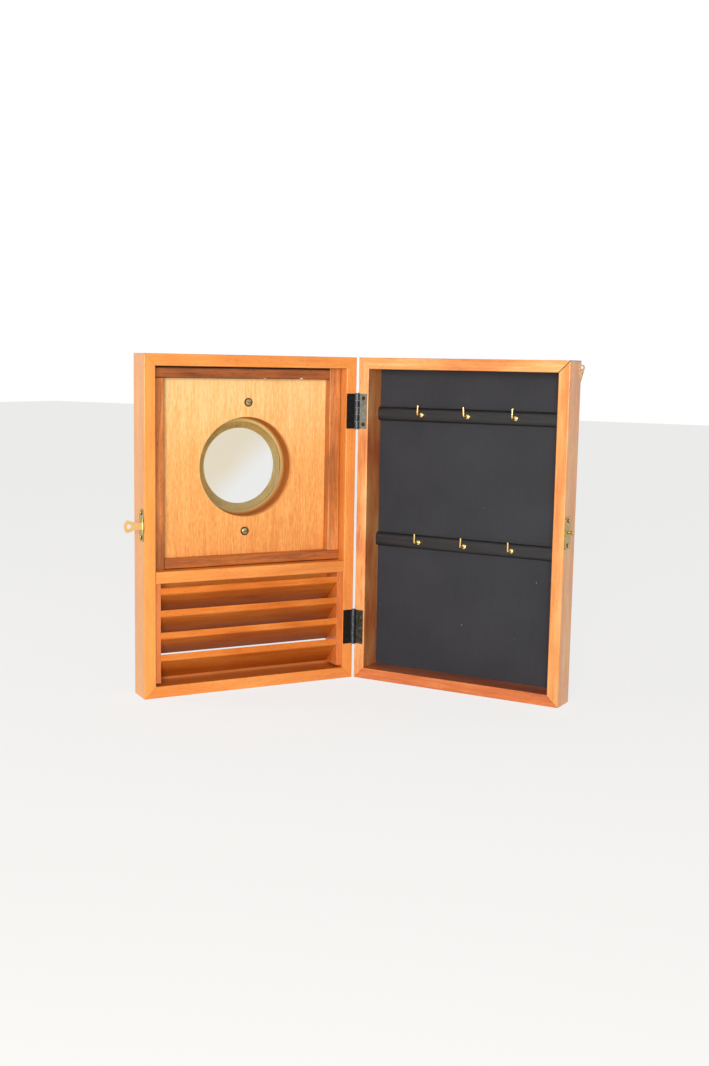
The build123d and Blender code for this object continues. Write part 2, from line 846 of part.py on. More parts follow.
for number in range(slat_count):
    with BuildPart() as louvre_slat:
        extrude(slat_section(number), amount=stile_inner - joint_gap / 2, both=True)
        extrude(slat_section(number, tenon_shoulder), amount=stile_inner + tenon_length, both=True)
    save(louvre_slat, f"louvre_slat_{number + 1}")

for side, label in ((-1, "hinge_side_louvre_stile"), (1, "free_side_louvre_stile")):
    with BuildPart() as louvre_stile:
        stile_bottom = board + stile_foot_gap
        stile_top = rail_underside - joint_gap
        with BuildSketch(door_face.offset(stile_recess)):
            with Locations((side * (stile_inner + stile_width / 2), (stile_bottom + stile_top) / 2)):
                Rectangle(stile_width, stile_top - stile_bottom)
        extrude(amount=louvre_depth)
        for number in range(slat_count):
            extrude(
                slat_section(number, tenon_shoulder - hole_clearance),
                amount=stile_inner + tenon_length + hole_clearance, both=True, mode=Mode.SUBTRACT,
            )
    save(louvre_stile, label)

# Hasp: plate on the door's free side, pin, and the fan-shaped tab with its eye

hasp_axis_x = half_width + plate_thickness + hasp_thickness / 2 + joint_gap
hasp_origin = door_frame.from_local_coords((hasp_axis_x, -face_gap / 2, catch_height))
hasp_span = hasp_knuckle_height / 2 + joint_gap + hasp_end_knuckle / 2


def hasp_bore():
    """The bore through all the hasp's knuckles."""
    with BuildPart(Plane(origin=hasp_origin, z_dir=(0, 0, 1))) as bore:
        Cylinder(hasp_pin_radius + pin_clearance, plate_height)
    return bore.part


with BuildPart() as hasp_plate:
    plate_face = Plane(
        origin=door_point(half_width, 0, 0), x_dir=door_outward * -1, z_dir=door_across
    )
    with BuildSketch(plate_face):
        with Locations((-hasp_plate_depth, catch_height)):
            RectangleRounded(hasp_plate_width, plate_height, plate_corner)
        for end in (1, -1):
            with Locations((0, catch_height + end * hasp_span)):
                Rectangle(
                    plate_setback + plate_corner, hasp_end_knuckle, align=(Align.MAX, Align.CENTER)
                )
    extrude(amount=plate_thickness)
    for end in (1, -1):
        with BuildSketch(Plane(
            origin=hasp_origin + Vector(0, 0, end * hasp_span), x_dir=door_across, z_dir=(0, 0, 1)
        )):
            Circle(hasp_knuckle_radius)
        extrude(amount=hasp_end_knuckle / 2, both=True)
    with BuildSketch(Plane(origin=hasp_origin, x_dir=door_across, z_dir=(0, 0, 1))):
        Circle(hasp_knuckle_radius + knuckle_gap)
    extrude(amount=hasp_knuckle_height / 2 + joint_gap, both=True, mode=Mode.SUBTRACT)
    for seat in hasp_screw_seats():
        add(shank_hole(seat, small_shank_radius, small_shank_length), mode=Mode.SUBTRACT)
    add(hasp_bore(), mode=Mode.SUBTRACT)
save(hasp_plate, "hasp_plate")

with BuildPart() as hasp_pin:
    knuckle_end = hasp_span + hasp_end_knuckle / 2
    rivet_end = knuckle_end + hasp_rivet_height
    add(turned(Plane(origin=hasp_origin, z_dir=(0, 0, 1)), [
        (0, -rivet_end), (hasp_rivet_radius, -rivet_end), (hasp_rivet_radius, -knuckle_end),
        (hasp_pin_radius, -knuckle_end), (hasp_pin_radius, knuckle_end),
        (hasp_rivet_radius, knuckle_end), (hasp_rivet_radius, rivet_end), (0, rivet_end),
    ]))
save(hasp_pin, "hasp_pin")

with BuildPart() as hasp_tab:
    tab_face = Plane(
        origin=hasp_origin + door_outward * (hasp_thickness / 2), x_dir=door_across,
        z_dir=door_outward * -1,
    )
    root = hasp_knuckle_height / 2
    neck = (hasp_neck_reach, hasp_neck / 2)
    fan = (hasp_fan_reach, hasp_fan_width / 2)
    with BuildSketch(tab_face) as tab_outline:
        with BuildLine():
            Polyline((0, root), neck, fan)
            ThreePointArc(fan, (hasp_reach, 0), (fan[0], -fan[1]))
            Polyline((fan[0], -fan[1]), (neck[0], -neck[1]), (0, -root), (0, root))
        make_face()
        for corner, radius in ((fan, hasp_fan_round), (neck, hasp_neck_round)):
            for end in (1, -1):
                point = (corner[0], end * corner[1], 0)
                fillet(tab_outline.vertices().sort_by_distance(point)[0], radius=radius)
        with Locations((hasp_eye_reach, 0)):
            Circle(hasp_eye_radius, mode=Mode.SUBTRACT)
    extrude(amount=hasp_thickness)
    with BuildSketch(Plane(origin=hasp_origin, x_dir=door_across, z_dir=(0, 0, 1))):
        Circle(hasp_knuckle_radius)
    extrude(amount=hasp_knuckle_height / 2, both=True)
    add(hasp_bore(), mode=Mode.SUBTRACT)
save(hasp_tab, "hasp_tab")

with BuildPart() as hasp_plate_screws:
    for seat in hasp_screw_seats():
        add(round_screw(
            seat, small_head_radius, small_head_height, small_shank_radius, small_shank_length
        ))
        add(slot_cut(seat, small_head_radius, small_head_height), mode=Mode.SUBTRACT)
save(hasp_plate_screws, "hasp_plate_screws")
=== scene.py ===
"""A varnished wooden wall cabinet for keys, standing open on a pale table.

The door with its porthole and louvre is at the left, the black-lined key space at the right.
Lengths are in metres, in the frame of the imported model: X across the cabinet, Y to the wall.
"""

import json
import math

import bmesh
import bpy
from mathutils import Matrix, Vector


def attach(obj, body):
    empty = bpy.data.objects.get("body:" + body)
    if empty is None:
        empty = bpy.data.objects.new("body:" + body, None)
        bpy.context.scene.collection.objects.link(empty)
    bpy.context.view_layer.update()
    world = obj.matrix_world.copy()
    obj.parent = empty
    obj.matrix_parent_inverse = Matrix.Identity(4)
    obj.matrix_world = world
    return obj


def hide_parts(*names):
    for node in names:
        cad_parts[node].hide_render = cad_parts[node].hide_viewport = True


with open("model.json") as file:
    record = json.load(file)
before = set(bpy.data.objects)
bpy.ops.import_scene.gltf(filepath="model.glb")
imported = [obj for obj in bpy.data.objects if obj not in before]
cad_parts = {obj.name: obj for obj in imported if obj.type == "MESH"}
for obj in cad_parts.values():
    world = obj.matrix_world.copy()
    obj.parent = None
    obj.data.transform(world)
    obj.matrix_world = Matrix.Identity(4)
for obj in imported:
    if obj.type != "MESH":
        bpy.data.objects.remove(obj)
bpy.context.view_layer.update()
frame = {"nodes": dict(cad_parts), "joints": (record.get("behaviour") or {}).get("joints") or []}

MM = 0.001
nodes = frame["nodes"]


# The cabinet's frame is four boards of a light reddish hardwood, mitred and glued at the corners,
# then stained orange and varnished. Their inner faces are darkened with painted shade. The grain
# runs along each board, and the mitre at the top of the catch side has opened to a dark line.

case_height = 300.0 * MM
half_width = 102.0 * MM
board = 10.5 * MM

cabinet_wood = ((220, 128, 62), (240, 160, 86), (252, 194, 124))
bottom_wood = ((190, 90, 38), (218, 120, 56), (238, 150, 84))
hinge_side_wood = ((208, 106, 52), (240, 160, 90), (252, 196, 130))
# painted shade, multiplied onto the boards' inner faces
painted_inner_shade = (0.62, 0.54, 0.48)
open_mitre = (74, 34, 14)
bare_wood = (236, 214, 190)
# painted shade for dark lines along the edges of parts
painted_gap_shade = (0.1, 0.08, 0.08)
ALONG_X = (0.045, 1, 1)
ALONG_Z = (1, 1, 0.045)


class Wire:
    """What runs out of one node into others. On numbers, Python's operators add Math nodes."""

    def __init__(self, bench, socket):
        self.bench = bench
        self.socket = socket

    def maths(self, operation, *values, clamp=False):
        settings = {"operation": operation, "use_clamp": clamp}
        return self.bench.node("ShaderNodeMath", settings, dict(enumerate(values)))

    def __add__(self, other):
        return self.maths("ADD", self, other)

    def __radd__(self, other):
        return self.maths("ADD", other, self)

    def __sub__(self, other):
        return self.maths("SUBTRACT", self, other)

    def __rsub__(self, other):
        return self.maths("SUBTRACT", other, self)

    def __mul__(self, other):
        return self.maths("MULTIPLY", self, other)

    def __rmul__(self, other):
        return self.maths("MULTIPLY", other, self)

    def __truediv__(self, other):
        return self.maths("DIVIDE", self, other)

    def __pow__(self, other):
        return self.maths("POWER", self, other)

    def __abs__(self):
        return self.maths("ABSOLUTE", self)

    def held(self):
        """The value, kept between 0 and 1."""
        return self.maths("ADD", self, 0.0, clamp=True)

    def ramp(self, low, high):
        """0 at low, 1 at high, and smooth between. low may be the larger."""
        settings = {"interpolation_type": "SMOOTHSTEP"}
        return self.bench.node("ShaderNodeMapRange", settings, {0: self, 1: low, 2: high})


class Bench:
    """A node tree while its nodes are put in and wired."""

    def __init__(self, tree):
        self.tree = tree

    def node(self, kind, settings=None, values=None, out=0):
        """One node: its settings first, then the values or wires of its sockets."""
        made = self.tree.nodes.new(kind)
        for setting, value in (settings or {}).items():
            if setting == "stops":
                ramp = made.color_ramp.elements
                ramp.remove(ramp[1])
                for step, (place, colour) in enumerate(value):
                    stop = ramp[0] if step == 0 else ramp.new(place)
                    stop.position = place
                    stop.color = colour
            else:
                setattr(made, setting, value)
        for key, value in (values or {}).items():
            if isinstance(value, Wire):
                self.tree.links.new(value.socket, made.inputs[key])
            else:
                made.inputs[key].default_value = value
        return Wire(self, made.outputs[out]) if made.outputs else None

    def vector(self, operation, first, second, out=0):
        """Vector Math. SCALE takes its number from the fourth socket."""
        settings = {"operation": operation}
        key = 3 if operation == "SCALE" else 1
        return self.node("ShaderNodeVectorMath", settings, {0: first, key: second}, out)


class Finish(Bench):
    """A material while it is mixed."""

    def __init__(self, name):
        self.material = bpy.data.materials.new(name)
        self.material.use_nodes = True
        super().__init__(self.material.node_tree)
        self.tree.nodes.clear()

    def spot(self, home=None):
        """The point on the piece, for a door piece as if the door were shut."""
        point = self.node("ShaderNodeTexCoord", out=3)
        if home is None:
            return point
        return self.node("ShaderNodeMapping", None, {
            0: point, 1: home.to_translation(), 2: home.to_euler(),
        })

    def along(self, spot, axis):
        """One coordinate of a point."""
        return self.node("ShaderNodeSeparateXYZ", None, {0: spot}, out="xyz".index(axis))

    def noise(self, spot, scale, detail=2.0, roughness=0.5):
        values = {"Vector": spot, "Scale": scale, "Detail": detail, "Roughness": roughness}
        return self.node("ShaderNodeTexNoise", None, values)

    def blend(self, share, first, second, how="MIX"):
        """Two colours mixed by the share of the second."""
        settings = {"data_type": "RGBA", "blend_type": how}
        return self.node("ShaderNodeMix", settings, {0: share, 6: first, 7: second}, out=2)

    def shades(self, value, *stops):
        return self.node("ShaderNodeValToRGB", {"stops": stops}, {0: value})

    def bump(self, height, strength, depth):
        return self.node("ShaderNodeBump", None, {
            "Strength": strength, "Distance": depth, "Height": height,
        })

    def surface(self, **values):
        """Ends the material in one shader, with underscores for the spaces of its sockets."""
        named = {key.replace("_", " "): value for key, value in values.items()}
        shader = self.node("ShaderNodeBsdfPrincipled", None, named)
        self.node("ShaderNodeOutputMaterial", None, {0: shader})
        return self.material


def colour(red, green, blue):
    """A colour read off a screen, 0 to 255, as a shader takes it."""
    shares = [value / 255 for value in (red, green, blue)]
    return (*(s / 12.92 if s <= 0.04045 else ((s + 0.055) / 1.055) ** 2.4 for s in shares), 1)


def timber(name, run, tones, cut, home=None, figure=0.6, dapple=0.5, pore=0.25, coat=0.75,
           gloss=0.2, shine=0.35, mitre=None, shade_inside=None, shaded=None, chips=None):
    """Varnished wood with its fibres along run, from its dark, middle and light tones."""
    wood = Finish(name)
    spot = wood.spot(home)
    point = wood.vector("ADD", spot, cut)
    sway = wood.node("ShaderNodeTexNoise", None, {
        "Vector": point, "Scale": 13.0, "Detail": 1.0,
    }, out=1)
    point = wood.vector("ADD", point, wood.vector("SCALE", sway, 0.005))
    fibres = wood.vector("MULTIPLY", point, run)
    broad = [1 if across == 1 else 0.3 for across in run]
    patches = wood.noise(wood.vector("MULTIPLY", point, broad), 52.0, 3.0)
    bands = wood.noise(fibres, 95.0)
    streaks = wood.noise(fibres, 460.0, 3.0, 0.6)
    hairs = wood.noise(fibres, 1500.0, 2.0, 0.6)
    short = [1 if across == 1 else 0.13 for across in run]
    dashes = wood.noise(wood.vector("MULTIPLY", point, short), 1500.0, 1.0)
    tone = (
        0.5 + (bands - 0.5) * (0.7 * figure) + (streaks - 0.5) * (0.75 * figure)
        + (hairs - 0.5) * (0.45 * figure) + (patches - 0.5) * dapple
    )
    dark, middle, light = (colour(*shade) for shade in tones)
    shown = wood.shades(tone.held(), (0.26, dark), (0.5, middle), (0.74, light))
    pits = dashes.ramp(0.58, 0.72)
    shown = wood.blend(pits * pore, shown, (dark[0] * 0.5, dark[1] * 0.4, dark[2] * 0.35, 1))
    # Painted shade darkens the faces that lie within the given span.
    if shade_inside:
        axis, middle, half = shade_inside
        shaded_inner_face = abs(wood.along(spot, axis) - middle).ramp(half + 0.45 * MM, half + 0.15 * MM)
        shown = wood.blend(shaded_inner_face, shown, (*painted_inner_shade, 1), "MULTIPLY")
    if mitre:
        side, top = mitre
        off_line = abs(wood.along(spot, "x") - wood.along(spot, "z") - (side - top))
        shown = wood.blend(off_line.ramp(0.75 * MM, 0.3 * MM), shown, colour(*open_mitre))
    # Painted shade and dark lines, in bands along an axis.
    for shade, axis, clean, full in shaded or ():
        shown = wood.blend(wood.along(spot, axis).ramp(clean, full), shown, (*shade, 1), "MULTIPLY")
    for x, z, half, deep in chips or ():
        sideways = abs(wood.along(spot, "x") - x + (hairs - 0.5) * (3 * MM))
        upwards = wood.along(spot, "z") - z + (streaks - 0.5) * (2 * MM)
        chip = sideways.ramp(half, half * 0.6) * upwards.ramp(deep, deep * 0.6)
        shown = wood.blend(chip, shown, colour(*bare_wood))
    return wood.surface(
        Base_Color=shown, Roughness=0.46 + (streaks - 0.5) * 0.25, Specular_IOR_Level=shine,
        Coat_Weight=coat, Coat_Roughness=gloss,
        Normal=wood.bump(hairs * 0.6 - pits * 0.4, 0.16, 0.15 * MM),
    )


def dress(material, *names):
    """Gives CAD nodes, whose shape is right as it is, their finish."""
    for name in names:
        for seat in nodes[name].material_slots:
            seat.material = material


top_mitre = (half_width, case_height)
between_sides = ("x", 0.0, half_width - board)
between_ends = ("z", case_height / 2, case_height / 2 - board)
dress(timber("cabinet_top_wood", ALONG_X, cabinet_wood, (0.31, 0.2, 0.1), dapple=0.9,
             mitre=top_mitre, shade_inside=between_ends), "cabinet_top")
dress(timber("cabinet_bottom_wood", ALONG_X, bottom_wood, (0.9, 0.4, 0.3), dapple=0.9,
             shade_inside=between_ends), "cabinet_bottom")
dress(timber("cabinet_hinge_side_wood", ALONG_Z, hinge_side_wood, (0.5, 0.7, 0.6), dapple=1.4,
             shade_inside=between_sides), "cabinet_hinge_side")
dress(timber("cabinet_catch_side_wood", ALONG_Z, cabinet_wood, (0.2, 0.8, 0.9), dapple=0.7,
             mitre=top_mitre, shade_inside=between_sides), "cabinet_catch_side")


# The back panel is thin board with a black face inside, which has caught a little dust. It lies
# in the rebate and is held by small steel pins, two in each rail and three in each side.

back_y = 13.5 * MM
pin_across = 93.5 * MM
pin_low, pin_high = 8.5 * MM, 291.5 * MM
pin_sides = (55.667 * MM, 94.333 * MM)

lining = Finish("black_lining_paper")
spot = lining.spot()
nap = lining.noise(spot, 1300.0, 3.0, 0.7)
threads = lining.noise(lining.vector("MULTIPLY", spot, (1, 1, 0.08)), 420.0, 2.0)
cloud = lining.noise(spot, 16.0, 3.0)
dust = lining.noise(spot, 210.0, 1.0).ramp(0.815, 0.83)
paper = lining.shades(
    (0.5 + (cloud - 0.5) * 0.6 + (nap - 0.5) * 0.6 + (threads - 0.5) * 0.12).held(),
    (0.25, colour(46, 47, 52)), (0.75, colour(60, 61, 66)),
)
dress(lining.surface(
    Base_Color=lining.blend(dust * 0.6, paper, colour(168, 158, 132)),
    Roughness=0.8, Specular_IOR_Level=0.3, Normal=lining.bump(nap + threads * 0.15, 0.2, 0.2 * MM),
), "back_panel")


class Jig(Bench):
    """A geometry tree with named inputs, which turns a blank mesh into a finished one."""

    def __init__(self, name, inputs):
        super().__init__(bpy.data.node_groups.new(name, "GeometryNodeTree"))
        sockets = self.tree.interface
        sockets.new_socket("Blank", in_out="INPUT", socket_type="NodeSocketGeometry")
        for label, kind in {**inputs, "Finish": "Material"}.items():
            sockets.new_socket(label, in_out="INPUT", socket_type="NodeSocket" + kind)
        sockets.new_socket("Piece", in_out="OUTPUT", socket_type="NodeSocketGeometry")
        entry = self.tree.nodes.new("NodeGroupInput")
        self.given = {socket.name: Wire(self, socket) for socket in entry.outputs if socket.name}

    def ends_in(self, shape):
        """Ends the tree in real geometry with its material."""
        real = self.node("GeometryNodeRealizeInstances", None, {"Geometry": shape})
        finished = self.node("GeometryNodeSetMaterial", None, {
            "Geometry": real, "Material": self.given["Finish"],
        })
        self.node("NodeGroupOutput", None, {0: finished})

    def run(self, name, blank, values, material=None):
        """Runs the tree on a blank mesh and returns the piece as an object with a plain mesh."""
        piece = bpy.data.objects.new(name, blank)
        bpy.context.collection.objects.link(piece)
        modifier = piece.modifiers.new(self.tree.name, "NODES")
        modifier.node_group = self.tree
        given = {**values, "Finish": material}
        for socket in self.tree.interface.items_tree:
            if socket.in_out == "INPUT" and given.get(socket.name) is not None:
                modifier[socket.identifier] = given[socket.name]
        ready = piece.evaluated_get(bpy.context.evaluated_depsgraph_get())
        mesh = bpy.data.meshes.new_from_object(ready)
        piece.modifiers.remove(modifier)
        piece.data = mesh
        return piece


# One jig sets a fitting out in rows, each turned a little by hand as screws and hooks are.
rows = Jig("rows_of_fittings", {
    "Start": "Vector", "Rows": "Int", "Row Step": "Vector", "In Row": "Int", "Step": "Vector",
    "Turn": "Vector", "Seed": "Int",
})
row_starts = rows.node("GeometryNodeMeshLine", {"mode": "OFFSET"}, {
    "Count": rows.given["Rows"], "Start Location": rows.given["Start"],
    "Offset": rows.given["Row Step"],
})
one_row = rows.node("GeometryNodeMeshLine", {"mode": "OFFSET"}, {
    "Count": rows.given["In Row"], "Offset": rows.given["Step"],
})
seats = rows.node("GeometryNodeInstanceOnPoints", None, {"Points": row_starts, "Instance": one_row})
seats = rows.node("GeometryNodeRealizeInstances", None, {"Geometry": seats})
hand_turn = rows.node("FunctionNodeRandomValue", {"data_type": "FLOAT_VECTOR"}, {
    "Min": rows.vector("SCALE", rows.given["Turn"], -1.0), "Max": rows.given["Turn"],
    "Seed": rows.given["Seed"],
})
rows.ends_in(rows.node("GeometryNodeInstanceOnPoints", None, {
    "Points": seats, "Instance": rows.given["Blank"], "Rotation": hand_turn,
}))


def eased(*corners):
    """An outline with its corners rounded, from (x, y) or (x, y, radius) for each corner."""
    points = []
    for step, corner in enumerate(corners):
        here = Vector(corner[:2])
        if len(corner) == 2:
            points.append(here)
            continue
        back = (Vector(corners[step - 1][:2]) - here).normalized()
        on = (Vector(corners[(step + 1) % len(corners)][:2]) - here).normalized()
        half = back.angle(on) / 2
        centre = here + (back + on).normalized() * (corner[2] / math.sin(half))
        first = here + back * (corner[2] / math.tan(half)) - centre
        last = here + on * (corner[2] / math.tan(half)) - centre
        steps = 6
        for part in range(steps + 1):
            share = part / steps
            swung = first.lerp(last, share)
            points.append(centre + swung.normalized() * corner[2])
    return points


def smooth(mesh, angle=32.0):
    """Smooth shading, with edges sharper than the angle left crisp."""
    mesh.shade_smooth()
    mesh.set_sharp_from_angle(angle=math.radians(angle))
    return mesh


def turned(outline, sides=32):
    """A solid turned about Z from its (radius, height) outline, whose ends are on the axis."""
    shape = bmesh.new()
    verts = [shape.verts.new((radius, 0, height)) for radius, height in outline]
    edges = [shape.edges.new(pair) for pair in zip(verts, verts[1:])]
    bmesh.ops.spin(
        shape, geom=verts + edges, axis=(0, 0, 1), cent=(0, 0, 0), steps=sides, angle=math.tau,
    )
    bmesh.ops.remove_doubles(shape, verts=shape.verts, dist=1e-7)
    bmesh.ops.recalc_face_normals(shape, faces=shape.faces)
    mesh = bpy.data.meshes.new("turned")
    shape.to_mesh(mesh)
    shape.free()
    return mesh


def metal(name, bright, worn, roughness, grain=500.0, wear=0.5, metallic=1.0):
    """Metal whose face is dulled in patches."""
    face = Finish(name)
    spot = face.spot()
    patches = face.noise(spot, grain, 4.0, 0.6)
    share = ((patches - 0.5) * 1.8 + 0.5).held() * wear
    return face.surface(
        Base_Color=face.blend(share, colour(*bright), colour(*worn)), Metallic=metallic,
        Roughness=roughness + (patches - 0.5) * 0.2, Normal=face.bump(patches, 0.1, 0.05 * MM),
    )


TO_BACK = Matrix.Rotation(math.radians(-90), 4, "X")
TO_FRONT = Matrix.Rotation(math.radians(90), 4, "X")
TO_RIGHT = Matrix.Rotation(math.radians(90), 4, "Y")


def joined(name, body, slot, *parts):
    """One piece from several objects of the same body and finish."""
    shape = bmesh.new()
    for part in parts:
        shape.from_mesh(part.data)
    whole = parts[0]
    whole.name = name
    shape.to_mesh(whole.data)
    shape.free()
    for part in parts[1:]:
        bpy.data.objects.remove(part)
    return seated(whole, body, slot)


def seated(piece, body, slot, *replaced):
    """Fixes a finished piece to its body, in place of the CAD nodes that it stands for."""
    smooth(piece.data)
    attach(piece, body)
    if replaced:
        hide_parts(*replaced)
    return piece


pin = turned([
    (0, -8 * MM), (0.35 * MM, -7 * MM), (0.5 * MM, -6 * MM), (0.5 * MM, -0.6 * MM),
    (1.2 * MM, -0.05 * MM), (1.15 * MM, 0), (0, 0),
], 20)
pin.transform(TO_BACK)
pin_steel = metal("pin_steel", (186, 186, 184), (112, 108, 102), 0.35)
rail_pins = rows.run("rail_pins", pin.copy(), {
    "Start": (-pin_across / 2, back_y, pin_low), "Rows": 2, "Row Step": (0, 0, pin_high - pin_low),
    "In Row": 2, "Step": (pin_across, 0, 0),
}, pin_steel)
side_pins = rows.run("side_pins", pin, {
    "Start": (-pin_across, back_y, pin_sides[0]), "Rows": 2, "Row Step": (2 * pin_across, 0, 0),
    "In Row": 3, "Step": (0, 0, pin_sides[1]),
}, pin_steel)
all_pins = joined("back_panel_pin_heads", "cabinet", "pin_steel", rail_pins, side_pins)
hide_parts("back_panel_pins")


# The two hook rails are half-round battens painted black, glued across the lining. The paint is
# satin, and brushed along the batten.

batten = Finish("black_batten_paint")
spot = batten.spot()
brushed = batten.noise(batten.vector("MULTIPLY", spot, (0.05, 1, 1)), 620.0, 3.0, 0.6)
dress(batten.surface(
    Base_Color=batten.shades(brushed, (0.35, colour(20, 20, 21)), (0.7, colour(36, 36, 37))),
    Roughness=0.36 + brushed * 0.14, Normal=batten.bump(brushed, 0.25, 0.2 * MM),
), "upper_hook_rail", "lower_hook_rail")


# Each rail has three square hooks of drawn brass wire, bent up at the front and screwed in to a
# small collar. They were turned in by hand, so no two stand quite alike.

wire_radius = 0.95 * MM
hook_thread = 4.2 * MM
hook_reach = 9.0 * MM
hook_rise = 8.8 * MM
hook_bend = 2.0 * MM
collar_radius = 2.1 * MM
collar_thickness = 1.1 * MM
hook_pitch = 46.3 * MM
rail_pitch = 117.6 * MM
first_hook = (-hook_pitch, 6.0 * MM, 248.7 * MM)

drawn = Jig("drawn_wire", {"Radius": "Float", "Sides": "Int"})
wire_path = drawn.node("GeometryNodeMeshToCurve", None, {"Mesh": drawn.given["Blank"]})
taper = drawn.node("GeometryNodeInputNamedAttribute", {"data_type": "FLOAT"}, {"Name": "thickness"})
wire_path = drawn.node("GeometryNodeSetCurveRadius", None, {"Curve": wire_path, "Radius": taper})
wire_round = drawn.node("GeometryNodeCurvePrimitiveCircle", None, {
    "Resolution": drawn.given["Sides"], "Radius": drawn.given["Radius"],
})
drawn.ends_in(drawn.node("GeometryNodeCurveToMesh", None, {
    "Curve": wire_path, "Profile Curve": wire_round, "Fill Caps": True,
}))

path = [(0, hook_thread, 0), (0, -collar_thickness, 0)]
for step in range(9):
    swing = math.radians(90 * step / 8)
    path.append((0, -(hook_reach - hook_bend) - hook_bend * math.sin(swing),
                 hook_bend * (1 - math.cos(swing))))
thickness = [1.0] * len(path)
for lean in (0, 25, 48, 66, 80, 87):
    path.append((0, -hook_reach, hook_rise - wire_radius * (1 - math.sin(math.radians(lean)))))
    thickness.append(math.cos(math.radians(lean)))
bent_wire = bpy.data.meshes.new("bent_wire")
bent_wire.from_pydata(path, [(step, step + 1) for step in range(len(path) - 1)], [])
bent_wire.attributes.new("thickness", "FLOAT", "POINT").data.foreach_set("value", thickness)
hook = drawn.run("hook_wire", bent_wire, {"Radius": wire_radius, "Sides": 16})

collar = turned(eased((0, 0), (collar_radius, 0, 0.2 * MM),
                      (collar_radius, collar_thickness, 0.45 * MM), (0, collar_thickness)), 32)
collar.transform(TO_FRONT)
blank = bmesh.new()
blank.from_mesh(hook.data)
blank.from_mesh(collar)
hook_mesh = bpy.data.meshes.new("key_hook")
blank.to_mesh(hook_mesh)
blank.free()
bpy.data.objects.remove(hook)

bright_brass = metal("bright_brass", (252, 222, 146), (220, 166, 84), 0.22, 700.0, 0.4)
seated(rows.run("key_hooks", hook_mesh, {
    "Start": first_hook, "Rows": 2, "Row Step": (0, 0, -rail_pitch), "In Row": 3,
    "Step": (hook_pitch, 0, 0), "Turn": (0, 0.07, 0), "Seed": 4,
}, bright_brass), "cabinet", "hook_brass", *(f"key_hook_{number}" for number in range(1, 7)))


# Two butt hinges of bronzed steel are let into the edges of both halves. The cabinet's upper leaf
# is paler, partly worn bronzing and partly a painted sheen; the others are nearly black. The
# barrels are grey in patches, partly wear and partly a painted highlight, with painted shade on
# their half on the +X side of the axis.

leaf_y = -13.9 * MM
hinge_x = -102.6 * MM
hinge_screw_x = -96.3 * MM
hinge_low = 49.1 * MM
hinge_pitch = 201.8 * MM
hinge_screw_pitch = 24.0 * MM
axis_y = -14.0 * MM
barrel_dark = (44, 46, 48)
# The barrels' pale grey is partly wear and partly a painted highlight.
barrel_worn_and_highlight = (150, 158, 166)

frame_hinge = next(joint for joint in frame["joints"] if joint["name"] == "door_hinge")
door_turn = -math.radians(frame_hinge["range_deg"][0])
door_across = Vector((math.cos(door_turn), -math.sin(door_turn), 0))
door_outward = Vector((-math.sin(door_turn), -math.cos(door_turn), 0))
door_origin = Vector((hinge_x, axis_y, 0)) - door_across * hinge_x + door_outward * (0.5 * MM)
door_place = Matrix.Translation(door_origin) @ Matrix.Rotation(-door_turn, 4, "Z")
door_home = door_place.inverted()


def bronzed(name, bronze, pale_tone, paleness):
    """Bronzed steel, worn in patches, with a painted highlight and painted shade on the barrel."""
    face = Finish(name)
    spot = face.spot()
    rub = face.noise(spot, 330.0, 4.0, 0.65)
    sideways = face.along(spot, "x") - hinge_x
    inward = face.along(spot, "y") - axis_y
    from_axis = (sideways * sideways + inward * inward) ** 0.5
    barrel = from_axis.ramp(2.9 * MM, 2.0 * MM)
    share = ((rub - 0.5) * 1.5 + paleness).held()
    leaf = face.blend(share, colour(*bronze), colour(*pale_tone))
    barrel_tone_and_shade = face.blend(rub, colour(*barrel_dark), colour(*barrel_worn_and_highlight))
    # Painted shade darkens the barrel's half on the +X side of the axis.
    barrel_tone_and_shade = face.blend(sideways.ramp(0.2 * MM, 1.2 * MM), barrel_tone_and_shade, colour(*barrel_dark))
    return face.surface(
        Base_Color=face.blend(barrel, leaf, barrel_tone_and_shade), Metallic=0.85,
        Roughness=0.42 + (rub - 0.5) * 0.25, Normal=face.bump(rub, 0.15, 0.08 * MM),
    )


black_leaf = bronzed("black_bronzed_leaf", (32, 31, 28), (70, 68, 62), -0.05)
dark_leaf = bronzed("dark_bronzed_leaf", (52, 52, 46), (128, 128, 118), 0.2)
# The cabinet's upper leaf is paler, partly wear and partly a painted sheen.
worn_and_sheen_leaf = bronzed("bare_bronzed_leaf", (84, 84, 74), (168, 172, 158), 0.62)
dress(black_leaf, "upper_hinge_door_leaf", "lower_hinge_door_leaf")
dress(dark_leaf, "lower_hinge_cabinet_leaf")
dress(worn_and_sheen_leaf, "upper_hinge_cabinet_leaf", "upper_hinge_pin", "lower_hinge_pin")


